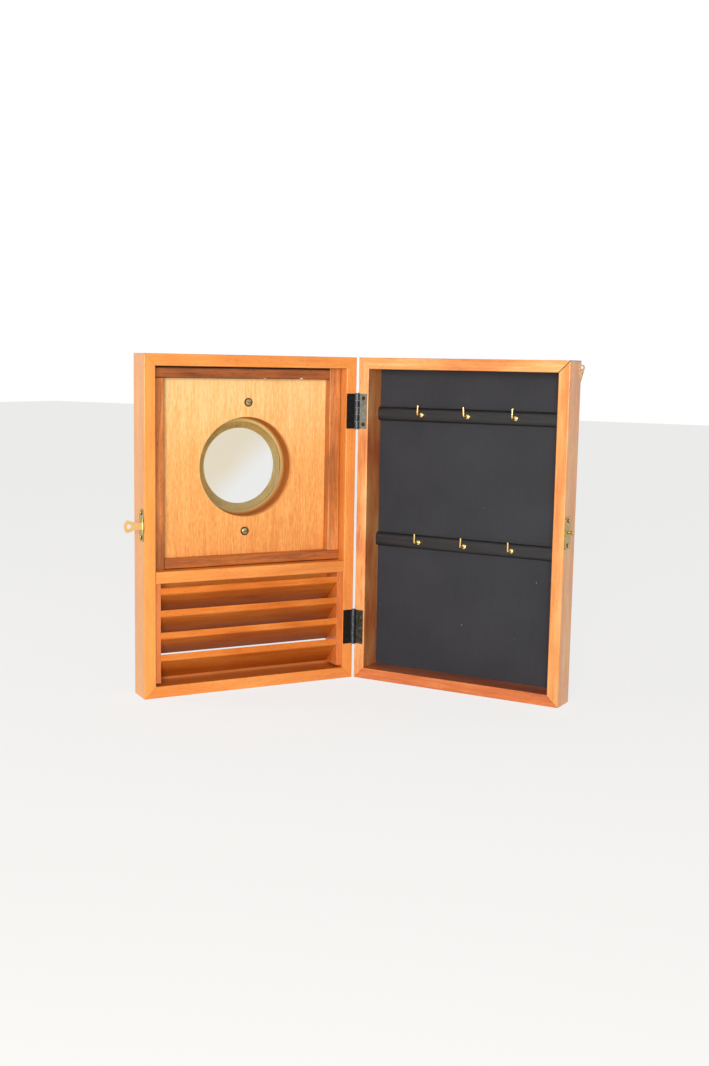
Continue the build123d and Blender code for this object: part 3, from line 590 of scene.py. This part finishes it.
def slotted(outline, head_radius, top, slot_width, slot_depth, sides=32):
    """A turned screw with a slot sawn across its head, and how far out each point is, as rim."""
    body = bpy.data.objects.new("screw_blank", turned(outline, sides))
    saw_mesh = bpy.data.meshes.new("saw")
    blade = bmesh.new()
    bmesh.ops.create_cube(blade, size=1.0)
    blade.to_mesh(saw_mesh)
    blade.free()
    saw_mesh.transform(Matrix.Translation((0, 0, top)) @ Matrix.Diagonal(
        (3 * head_radius, slot_width, 2 * slot_depth, 1)
    ))
    saw = bpy.data.objects.new("saw", saw_mesh)
    for thing in (body, saw):
        bpy.context.collection.objects.link(thing)
    sawing = body.modifiers.new("slot", "BOOLEAN")
    sawing.operation = "DIFFERENCE"
    sawing.solver = "EXACT"
    sawing.object = saw
    mesh = bpy.data.meshes.new_from_object(
        body.evaluated_get(bpy.context.evaluated_depsgraph_get())
    )
    bpy.data.objects.remove(body)
    bpy.data.objects.remove(saw)
    rim = mesh.attributes.new("rim", "FLOAT", "POINT")
    rim.data.foreach_set("value", [point.co.xy.length / head_radius for point in mesh.vertices])
    return mesh


def countersunk(head_radius, head_height, shank_radius, length, slot_width=0.6 * MM):
    return slotted([
        (0, -length), (shank_radius * 0.4, -length), (shank_radius, -length + 2 * MM),
        (shank_radius, -head_height), (head_radius, -0.1 * MM), (head_radius - 0.1 * MM, 0), (0, 0),
    ], head_radius, 0, slot_width, 0.4 * MM)


def round_head(head_radius, head_height, shank_radius, length, slot_width, slot_depth):
    dome = []
    for step in range(10):
        swing = math.radians(90 * step / 9)
        dome.append((head_radius * math.cos(swing), head_height * (0.15 + 0.85 * math.sin(swing))))
    dome[-1] = (0, head_height)
    return slotted([
        (0, -length), (shank_radius * 0.4, -length), (shank_radius, -length + 2 * MM),
        (shank_radius, 0), (head_radius, 0), *dome,
    ], head_radius, head_height, slot_width, slot_depth)


def screw_finish(name, middle, edge, slot_colour, roughness=0.38, metallic=0.9):
    """A screw that darkens towards its rim, with patches of a second colour over its head."""
    face = Finish(name)
    rim = face.node("ShaderNodeAttribute", {"attribute_name": "rim"}, out=2)
    patches = face.noise(face.spot(), 900.0, 3.0, 0.6)
    rim_darkening = (rim + (patches - 0.5) * 0.5).ramp(0.55, 0.95)
    shown = face.blend(rim_darkening, colour(*middle), colour(*edge))
    shown = face.blend(patches.ramp(0.55, 0.7) * 0.35, shown, colour(*slot_colour))
    return face.surface(
        Base_Color=shown, Metallic=metallic, Roughness=roughness + (patches - 0.5) * 0.2,
    )


dark_screw = screw_finish("dark_bronze_screw", (96, 74, 52), (40, 30, 24), (140, 90, 60))
black_screw = screw_finish("black_bronze_screw", (52, 46, 38), (30, 28, 24), (74, 60, 44))
leaf_screw = countersunk(1.9 * MM, 1.1 * MM, 0.8 * MM, 8.0 * MM)
cabinet_leaf_screw = leaf_screw.copy()
cabinet_leaf_screw.transform(TO_FRONT)
hinge_rows = {
    "Rows": 2, "Row Step": (0, 0, hinge_pitch), "In Row": 2, "Step": (0, 0, hinge_screw_pitch),
    "Turn": (0, 1.5, 0),
}
first_screw_z = hinge_low - hinge_screw_pitch / 2
seated(rows.run("cabinet_leaf_screws", cabinet_leaf_screw, {
    "Start": (hinge_screw_x, leaf_y, first_screw_z), **hinge_rows, "Seed": 2,
}, dark_screw), "cabinet", "bronzed_hinge", "cabinet_hinge_screws")
leaf_screw.transform(TO_BACK)
door_leaf_screws = rows.run("door_leaf_screws", leaf_screw, {
    "Start": (hinge_screw_x, 0.4 * MM, first_screw_z), **hinge_rows, "Seed": 7,
}, black_screw)
door_leaf_screws.data.transform(door_place)
seated(door_leaf_screws, "door", "bronzed_hinge", "door_hinge_screws")


# A stamped brass plate is screwed to the cabinet's catch side, with a headed peg riveted in its
# middle. All of this brass has gone olive where hands don't rub it.

catch_x = 102.9 * MM
catch_y = -6.4 * MM
catch_peg_y = -2.3 * MM
catch_z = 153.0 * MM
catch_screw_pitch = 21.4 * MM
peg_radius = 1.1 * MM
peg_head_radius = 1.65 * MM
peg_top = 3.7 * MM
peg_tail = -0.9 * MM

aged_brass = metal("aged_brass", (222, 194, 120), (92, 76, 38), 0.27, 420.0, 0.85)
dress(aged_brass, "catch_plate", "hasp_plate", "hasp_pin")
plate_screw_brass = screw_finish(
    "plate_screw_brass", (232, 204, 124), (74, 56, 30), (150, 120, 60), 0.28,
)
plate_screw = round_head(1.9 * MM, 1.1 * MM, 0.8 * MM, 8.0 * MM, 0.5 * MM, 0.4 * MM)
plate_screw.transform(TO_RIGHT)
plate_rows = {"Rows": 1, "In Row": 2, "Step": (0, 0, catch_screw_pitch), "Turn": (1.5, 0, 0)}
seated(rows.run("catch_plate_screw_pair", plate_screw.copy(), {
    "Start": (catch_x, catch_y, catch_z - catch_screw_pitch / 2), **plate_rows, "Seed": 3,
}, plate_screw_brass), "cabinet", "aged_brass", "catch_plate_screws")

peg = turned(eased(
    (0, peg_tail), (peg_radius, peg_tail), (peg_radius, 2.2 * MM, 0.3 * MM),
    (peg_head_radius, 2.6 * MM, 0.2 * MM), (peg_head_radius, peg_top, 0.8 * MM), (0, peg_top),
), 32)
peg.transform(Matrix.Translation((catch_x, catch_peg_y, catch_z)) @ TO_RIGHT)
peg_piece = bpy.data.objects.new("headed_peg", peg)
bpy.context.collection.objects.link(peg_piece)
peg.materials.append(aged_brass)
seated(peg_piece, "cabinet", "aged_brass", "catch_peg")


# Thin brass hanging plates are let in flush at the two top back corners, each with an eye past the
# edge for a nail and two small countersunk screws.

eye_x = 102.6 * MM
eye_z = 294.3 * MM
tail_lean = 3.8 * MM
tail_drop = 15.0 * MM

pale_brass = metal("hanging_plate_brass", (160, 146, 116), (90, 76, 54), 0.4)
dress(pale_brass, "hinge_side_hanging_plate", "catch_side_hanging_plate")
hanger_screw = countersunk(1.5 * MM, 0.8 * MM, 0.6 * MM, 7.0 * MM, 0.5 * MM)
hanger_screw.transform(TO_BACK)
hanger_pairs = []
for side in (-1, 1):
    hanger_pairs.append(rows.run("hanger_screws", hanger_screw.copy(), {
        "Start": (side * (eye_x - tail_lean * 0.55), back_y, eye_z - tail_drop * 0.55),
        "Rows": 1, "In Row": 2, "Step": (-side * tail_lean * 0.45, 0, -tail_drop * 0.45),
        "Turn": (0, 1.5, 0), "Seed": 9 + side,
    }, plate_screw_brass))
hanger_screws = joined("hanging_screw_set", "cabinet", "aged_brass", *hanger_pairs)
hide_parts("hanging_plate_screws")


# The door's frame is made like the cabinet's, of more even and more orange boards with a lip along
# the front. The middle rail is planted between its sides. The inner faces of its top and bottom
# boards are darkened with painted shade.

door_wood = ((218, 120, 42), (240, 146, 58), (250, 170, 82))
free_side_wood = ((230, 140, 56), (246, 160, 68), (252, 184, 94))
for step, (node, run, tones, inner) in enumerate((
    ("door_top", ALONG_X, door_wood, between_ends),
    ("door_bottom", ALONG_X, door_wood, between_ends),
    ("middle_rail", ALONG_X, door_wood, None),
    ("door_hinge_side", ALONG_Z, door_wood, None),
    ("door_free_side", ALONG_Z, free_side_wood, None),
)):
    dress(timber(f"{node}_wood", run, tones, (0.37 * step, 0.6, 0.21 * step), home=door_home,
                 figure=0.45, dapple=0.45, shade_inside=inner), node)


# The porthole panel is plywood with a fine upright grain, varnished but not stained. Painted light
# makes it a little paler towards its upper free corner.

panel_middle_z = 200.75 * MM
panel_wood = Finish("panel_plywood")
spot = panel_wood.spot(door_home)
sway = panel_wood.node("ShaderNodeTexNoise", None, {"Vector": spot, "Scale": 9.0}, out=1)
sheet_point = panel_wood.vector("ADD", spot, panel_wood.vector("SCALE", sway, 0.004))
upright = panel_wood.vector("MULTIPLY", sheet_point, (1, 1, 0.03))
leaves = panel_wood.noise(upright, 110.0)
lines = panel_wood.noise(upright, 950.0, 3.0, 0.6)
hairs = panel_wood.noise(upright, 2400.0, 2.0, 0.6)
ticks = panel_wood.noise(panel_wood.vector("MULTIPLY", sheet_point, (1, 1, 0.14)), 1300.0, 1.0)
shade = (
    0.5 + (leaves - 0.5) * 0.3 + (lines - 0.5) * 0.6 + (hairs - 0.5) * 0.45 + (ticks - 0.5) * 0.55
)
upper = panel_wood.along(spot, "z") - panel_middle_z
# Painted light: paler towards the top and the free side, darker below the middle.
painted_light_gradient = panel_wood.along(spot, "x") * 0.4 + upper * 2.6 + abs(upper) * 0.6
sheet_colour = panel_wood.shades(
    (shade + painted_light_gradient).held(),
    (0.22, colour(230, 142, 70)), (0.5, colour(250, 176, 98)), (0.8, colour(254, 210, 144)),
)
dress(panel_wood.surface(
    Base_Color=sheet_colour, Roughness=0.5 + (lines - 0.5) * 0.2, Specular_IOR_Level=0.3,
    Coat_Weight=0.2, Coat_Roughness=0.2, Normal=panel_wood.bump(hairs + ticks * 0.5, 0.14, 0.15 * MM),
), "porthole_panel")


# Four strips of a darker, coarser wood are pinned round the panel's inner face, butted at the
# corners, with painted shade in dark lines along their edges where they meet the frame and the
# panel. The top one is given darker tones and wider dark lines, painted shade under the board above
# it, and it has two small chips along its lower edge, where bare wood shows.

strip_wood = ((154, 84, 34), (200, 118, 54), (228, 152, 88))
bottom_strip_tones = ((148, 78, 26), (190, 106, 42), (216, 134, 68))
# The top strip's darker tones are painted shade under the board above it.
top_strip_shaded_tones = ((104, 50, 16), (150, 80, 30), (182, 108, 50))
top_strip_edge = 279.2 * MM
top_strip_chips = (
    (-14.5 * MM, top_strip_edge, 1.3 * MM, 0.8 * MM),
    (-50.7 * MM, top_strip_edge, 1.6 * MM, 1.6 * MM),
)
for step, (node, run, tones, shaded_edges) in enumerate((
    ("bottom_panel_strip", ALONG_X, bottom_strip_tones, ((painted_gap_shade, "z", 113.0 * MM, 112.3 * MM),)),
    ("free_side_panel_strip", ALONG_Z, strip_wood, ((painted_gap_shade, "x", 90.6 * MM, 91.2 * MM),
                                                    (painted_gap_shade, "x", 80.4 * MM, 79.9 * MM))),
    ("hinge_side_panel_strip", ALONG_Z, strip_wood, ((painted_gap_shade, "x", -90.8 * MM, -91.3 * MM),)),
)):
    dress(timber(f"{node}_wood", run, tones, (0.3 * step, 0.45, 0.17 * step), home=door_home,
                 figure=0.75, dapple=0.8, pore=0.4, coat=0.3, shaded=shaded_edges), node)

# Painted shade: dark bands along both long edges of the top strip.
dress(timber("top_panel_strip_wood", ALONG_X, top_strip_shaded_tones, (0.83, 0.1, 0.6), home=door_home,
             figure=0.75, dapple=0.8, pore=0.4, coat=0.2, chips=top_strip_chips,
             shaded=((painted_gap_shade, "z", 286.8 * MM, 288.4 * MM), (painted_gap_shade, "z", 279.9 * MM, 279.3 * MM))),
      "top_panel_strip")


# The porthole ring is a brass casting, turned smooth: a barrel through the panel, an inner face
# round the glass that has gone olive, and outside a flange screwed through from behind. The inner
# face is dull, and painted light makes it paler towards its top and free side. The barrel still
# has its polish, and its orange-brown is partly the brass and partly a painted reflection of the
# wood round it.

porthole_x = -1.1 * MM
porthole_z = panel_middle_z - 0.8 * MM
barrel = 44.6 * MM
sight = 34.5 * MM
shoulder = barrel + 2.0 * MM
flange = 64.0 * MM
ring_back = 24.0 * MM
ring_front = 39.5 * MM
ring_wall = 2.0 * MM

lathe = Jig("turned_ring", {"Radius": "Float", "Steps": "Int"})
turn_path = lathe.node("GeometryNodeCurvePrimitiveCircle", None, {
    "Resolution": lathe.given["Steps"], "Radius": lathe.given["Radius"],
})
turn_path = lathe.node("GeometryNodeSetCurveNormal", {"mode": "Z_UP"}, {"Curve": turn_path})
section = lathe.node("GeometryNodeMeshToCurve", None, {"Mesh": lathe.given["Blank"]})
lathe.ends_in(lathe.node("GeometryNodeCurveToMesh", None, {
    "Curve": turn_path, "Profile Curve": section,
}))

outline = eased(
    (barrel, ring_back), (flange, ring_back), (flange, ring_back + 3 * MM, 1.4 * MM),
    (shoulder, ring_back + 3 * MM, 0.7 * MM), (shoulder, ring_front, 5.5 * MM),
    (sight, ring_front, 0.7 * MM), (sight, ring_front - ring_wall, 0.3 * MM),
    (barrel, ring_front - ring_wall, 3.5 * MM),
)
ring_section = bpy.data.meshes.new("ring_section")
count = len(outline)
ring_section.from_pydata(
    [(radius - barrel, -depth, 0) for radius, depth in outline],
    [(step, (step + 1) % count) for step in range(count)], [],
)

cast_brass = Finish("turned_cast_brass")
spot = cast_brass.spot(door_home)
across = cast_brass.along(spot, "x") - porthole_x
upward = cast_brass.along(spot, "z") - porthole_z
depth = cast_brass.along(spot, "y") * -1.0
radius = (across * across + upward * upward) ** 0.5
tool_marks = cast_brass.node("ShaderNodeTexNoise", {"noise_dimensions": "1D"}, {
    "W": radius, "Scale": 2600.0, "Detail": 2.0,
})
tarnish = cast_brass.noise(spot, 60.0, 4.0, 0.6)
outside = (depth.ramp(ring_front - 0.8 * MM, ring_front - 0.2 * MM)
           + radius.ramp(barrel + 0.7 * MM, barrel + 1.0 * MM)).held()
barrel_wall = radius.ramp(42.2 * MM, 44.5 * MM)
# Painted light: the inner face is paler towards its top and the free side.
painted_light_gradient = (across * 0.5 + upward).ramp(-46 * MM, 50 * MM)
dull = cast_brass.blend(
    (painted_light_gradient + (tarnish - 0.5) * 0.3 + (tool_marks - 0.5) * 0.1).held(),
    colour(172, 148, 90), colour(222, 196, 124),
)
bright = cast_brass.shades(tarnish, (0.3, colour(206, 150, 66)), (0.7, colour(236, 184, 96)))
# The barrel's orange-brown is partly brass and partly a painted reflection of the wood.
ring_brass = cast_brass.surface(
    Base_Color=cast_brass.blend(
        outside, cast_brass.blend(barrel_wall, dull, colour(190, 112, 44)), bright,
    ),
    Metallic=barrel_wall * 0.45 + outside * 0.45, Roughness=0.82 - barrel_wall * 0.28 - outside * 0.2,
    Normal=cast_brass.bump(tool_marks, 0.08, 0.05 * MM),
)
ring = lathe.run("cast_porthole_ring", ring_section, {"Radius": barrel, "Steps": 160}, ring_brass)
shape = bmesh.new()
shape.from_mesh(ring.data)
bmesh.ops.remove_doubles(shape, verts=shape.verts, dist=1e-7)
bmesh.ops.recalc_face_normals(shape, faces=shape.faces)
shape.to_mesh(ring.data)
shape.free()
ring.data.transform(door_place @ Matrix.Translation((porthole_x, 0, porthole_z)) @ Matrix.Rotation(
    math.radians(90), 4, "X"
))
seated(ring, "door", "cast_brass", "porthole_ring")


# The glass is a plain disc set in the ring, tinted cream upwards and towards the free side: a
# painted shade of what shows through it.

glass = Finish("porthole_glass")
spot = glass.spot(door_home)
# Painted shade: a cream tint upwards and towards the free side.
painted_shade_tint = (
    glass.along(spot, "x") * 16.0 + (glass.along(spot, "z") - porthole_z) * 16.0
    + (glass.noise(spot, 24.0) - 0.5) * 0.3
).ramp(-0.4, 0.3)
dress(glass.surface(
    Base_Color=glass.blend(painted_shade_tint, (1, 1, 1, 1), colour(247, 236, 212)), Roughness=0.02, IOR=1.3,
    Transmission_Weight=1.0,
), "porthole_glass")


# Two round-head brass screws hold the ring from inside the door, their heads darker towards the rim.

ring_screw_reach = 58.2 * MM
ring_screw_turn = math.radians(1.45)
panel_face = -20.0 * MM

ring_screw = round_head(3.9 * MM, 2.2 * MM, 1.4 * MM, 6.0 * MM, 0.9 * MM, 0.8 * MM)
ring_screw.transform(TO_BACK)
lean = ring_screw_reach * math.sin(ring_screw_turn)
rise = ring_screw_reach * math.cos(ring_screw_turn)
ring_screws = rows.run("ring_screws", ring_screw, {
    "Start": (porthole_x + lean, panel_face, porthole_z - rise), "Rows": 1, "In Row": 2,
    "Step": (-2 * lean, 0, 2 * rise), "Turn": (0, 0.6, 0), "Seed": 5,
}, screw_finish("ring_screw_brass", (176, 156, 112), (52, 44, 34), (150, 112, 48), 0.34))
ring_screws.data.transform(door_place)
seated(ring_screws, "door", "aged_brass", "porthole_screws")


# Under the middle rail is a louvre: two stiles with four slanted slats let into them, of a redder
# cut, with their edges eased and varnished as one. The third slat lies a little flatter. The
# slats' undersides are darkened with painted shade.

stile_wood = ((186, 88, 30), (222, 122, 48), (240, 152, 74))
slat_wood = ((190, 92, 32), (226, 126, 50), (244, 156, 78))
# Painted shade on the slats' undersides, darker past the inner edge and more so towards the front.
slat_underside_painted_shade = (
    ((0.66, 0.6, 0.46), "y", -3.4 * MM, -4.6 * MM),
    ((0.8, 0.74, 0.66), "y", -10 * MM, -26 * MM),
)
stile_inner = 86.2 * MM
stile_recess = 3.0 * MM
louvre_depth = 21.0 * MM
slat_slope = 0.96
flatter_by = 0.08
flat_slat = 2
slat_edge = 6.0 * MM
slat_top = 97.7 * MM
slat_pitch = 19.75 * MM

for step, node in enumerate(("hinge_side_louvre_stile", "free_side_louvre_stile")):
    dress(timber(f"{node}_wood", ALONG_Z, stile_wood, (0.4, 0.3, 0.7 * step), home=door_home), node)

slat_drop = slat_slope * louvre_depth
slat_outline = eased(
    (0, 0, 0.5 * MM), (-louvre_depth, -slat_drop, 0.4 * MM),
    (-louvre_depth, -slat_drop - slat_edge, 0.5 * MM), (0, -slat_edge, 0.4 * MM),
)
slat = bmesh.new()
ends = []
for x in (-stile_inner, stile_inner):
    ends.append([slat.verts.new((x, y - stile_recess, z)) for y, z in slat_outline])
    slat.faces.new(ends[-1])
for step in range(len(slat_outline)):
    slat.faces.new((ends[0][step - 1], ends[0][step], ends[1][step], ends[1][step - 1]))
bmesh.ops.recalc_face_normals(slat, faces=slat.faces)
slat_mesh = bpy.data.meshes.new("slat")
slat.to_mesh(slat_mesh)
slat.free()

# The louvre's jig numbers the slats from the top, and lifts the front of the one that lies flatter.
louvre = Jig("louvre_of_slats", {
    "Slats": "Int", "Top": "Vector", "Pitch": "Vector", "Flat Slat": "Int", "Flatter By": "Float",
    "Recess": "Float",
})
slat_seats = louvre.node("GeometryNodeMeshLine", {"mode": "OFFSET"}, {
    "Count": louvre.given["Slats"], "Start Location": louvre.given["Top"],
    "Offset": louvre.given["Pitch"],
})
slat_seats = louvre.node("GeometryNodeStoreNamedAttribute", {"data_type": "INT", "domain": "POINT"}, {
    "Geometry": slat_seats, "Name": "slat", "Value": louvre.node("GeometryNodeInputIndex"),
})
pack = louvre.node("GeometryNodeRealizeInstances", None, {
    "Geometry": louvre.node("GeometryNodeInstanceOnPoints", None, {
        "Points": slat_seats, "Instance": louvre.given["Blank"],
    }),
})
number = louvre.node("GeometryNodeInputNamedAttribute", {"data_type": "INT"}, {"Name": "slat"})
is_flat = louvre.node("FunctionNodeCompare", {"data_type": "INT", "operation": "EQUAL"}, {
    2: number, 3: louvre.given["Flat Slat"],
})
point = louvre.node("GeometryNodeInputPosition")
deep = louvre.node("ShaderNodeSeparateXYZ", None, {0: point}, out=1) * -1.0 - louvre.given["Recess"]
louvre.ends_in(louvre.node("GeometryNodeSetPosition", None, {
    "Geometry": pack, "Selection": is_flat,
    "Offset": louvre.node("ShaderNodeCombineXYZ", None, {2: deep * louvre.given["Flatter By"]}),
}))
slats = louvre.run("louvre_slats", slat_mesh, {
    "Slats": 4, "Top": (0, 0, slat_top), "Pitch": (0, 0, -slat_pitch), "Flat Slat": flat_slat,
    "Flatter By": flatter_by, "Recess": stile_recess,
}, timber("slat_wood", ALONG_X, slat_wood, (0.7, 0.2, 0.5), home=door_home, figure=0.45, dapple=0.6,
          coat=0.04, gloss=0.4, shine=0.12, shaded=slat_underside_painted_shade))
slats.data.transform(door_place)
seated(slats, "door", "louvre_wood", *(f"louvre_slat_{number}" for number in range(1, 5)))


# The hasp's plate matches the catch plate and is screwed to the door's free side. Its tab, a fan
# of thin brass with an eye for the peg, swings on a riveted pin and is rubbed bright.

hasp_screw_depth = -5.8 * MM
tab_brass = metal("rubbed_tab_brass", (252, 208, 138), (214, 150, 86), 0.36, 500.0, 0.6)
dress(tab_brass, "hasp_tab")
hasp_screws = rows.run("hasp_plate_screw_pair", plate_screw, {
    "Start": (catch_x, hasp_screw_depth, catch_z - catch_screw_pitch / 2), **plate_rows, "Seed": 8,
}, plate_screw_brass)
hasp_screws.data.transform(door_place)
seated(hasp_screws, "door", "aged_brass", "hasp_plate_screws")


# The table is covered with one plain pale paper. Seen by the camera, in gloss or through glass
# it is part white, and the rest that shows is its own surface, with the shadow that falls on it.

table_half = 6.0
paper_colour = (240, 236, 226)
white_share = 0.75

table_data = bpy.data.meshes.new("table_top")
table_data.from_pydata(
    [(x * table_half, y * table_half, 0) for x, y in ((-1, -1), (1, -1), (1, 1), (-1, 1))],
    [], [(0, 1, 2, 3)],
)
table_top = bpy.data.objects.new("table_top", table_data)
bpy.context.collection.objects.link(table_top)

paper = Finish("pale_table_paper")
laid = paper.node("ShaderNodeBsdfPrincipled", None, {
    "Base Color": colour(*paper_colour), "Roughness": 0.9,
    "Normal": paper.bump(paper.noise(paper.spot(), 900.0), 0.15, 0.4 * MM),
})
glow = paper.node("ShaderNodeEmission", None, {0: (1, 1, 1, 1), 1: 1.0})
ray = paper.tree.nodes.new("ShaderNodeLightPath")
seen = sum((Wire(paper, ray.outputs[kind]) for kind in ("Is Glossy Ray", "Is Transmission Ray")),
           Wire(paper, ray.outputs["Is Camera Ray"])).held()
paper.node("ShaderNodeOutputMaterial", None, {
    0: paper.node("ShaderNodeMixShader", None, {0: seen * white_share, 1: laid, 2: glow}),
})
table_data.materials.append(paper.material)


# A broad lamp beside the camera lights the front and a weak one stands at the left. A white room
# shows in varnish, brass and glass while it lights the cabinet only softly.

lamp_target = Vector((-0.05, -0.05, 0.15))
room_light = 0.3

world = bpy.data.worlds.new("white_room")
world.use_nodes = True
bpy.context.scene.world = world
room = Bench(world.node_tree)
room.tree.nodes.clear()
ray = room.tree.nodes.new("ShaderNodeLightPath")
shown = sum((Wire(room, ray.outputs[kind]) for kind in ("Is Glossy Ray", "Is Transmission Ray")),
            Wire(room, ray.outputs["Is Camera Ray"])).held()
white = room.node("ShaderNodeBackground", None, {
    "Color": (1, 1, 1, 1), "Strength": room_light + shown * (1.0 - room_light),
})
room.node("ShaderNodeOutputWorld", None, {0: white})


def lamp(name, place, size, power, tint):
    """A square soft lamp, aimed at the cabinet."""
    data = bpy.data.lights.new(name, "AREA")
    data.shape = "SQUARE"
    data.size = size
    data.energy = power
    data.color = tint
    light = bpy.data.objects.new(name, data)
    light.location = place
    light.rotation_euler = (lamp_target - Vector(place)).to_track_quat("-Z", "Y").to_euler()
    bpy.context.collection.objects.link(light)


lamp("front_lamp", (0.62, -1.55, 0.43), 0.6, 22.5, (1.0, 0.985, 0.96))
lamp("left_lamp", (-1.3, -0.6, 0.5), 0.6, 3.0, (1.0, 0.96, 0.94))


# The camera stands in front of the open cabinet, to its right, at the height of its top. Its
# place and turn come from the edges of the boards in the photograph.

camera_yaw = math.radians(-29.406)
camera_pitch = math.radians(7.4665)
camera_roll = math.radians(1.0002)
camera_place = Vector((478.107, -1045.448, 292.732)) * MM
camera_lens = 43.208
camera_sensor = 36
forward = Vector((
    math.sin(camera_yaw) * math.cos(camera_pitch),
    math.cos(camera_yaw) * math.cos(camera_pitch),
    -math.sin(camera_pitch),
))
level_right = Vector((math.cos(camera_yaw), -math.sin(camera_yaw), 0))
level_up = level_right.cross(forward)
camera_right = level_right * math.cos(camera_roll) + level_up * math.sin(camera_roll)
camera_up = level_up * math.cos(camera_roll) - level_right * math.sin(camera_roll)

camera_data = bpy.data.cameras.new("photo_camera")
camera_data.lens = camera_lens
camera_data.sensor_width = camera_sensor
camera = bpy.data.objects.new("photo_camera", camera_data)
camera.matrix_world = Matrix.Translation(camera_place) @ Matrix(
    (camera_right, camera_up, -forward)
).transposed().to_4x4()
bpy.context.collection.objects.link(camera)
bpy.context.scene.camera = camera
bpy.context.scene.view_settings.view_transform = "Standard"
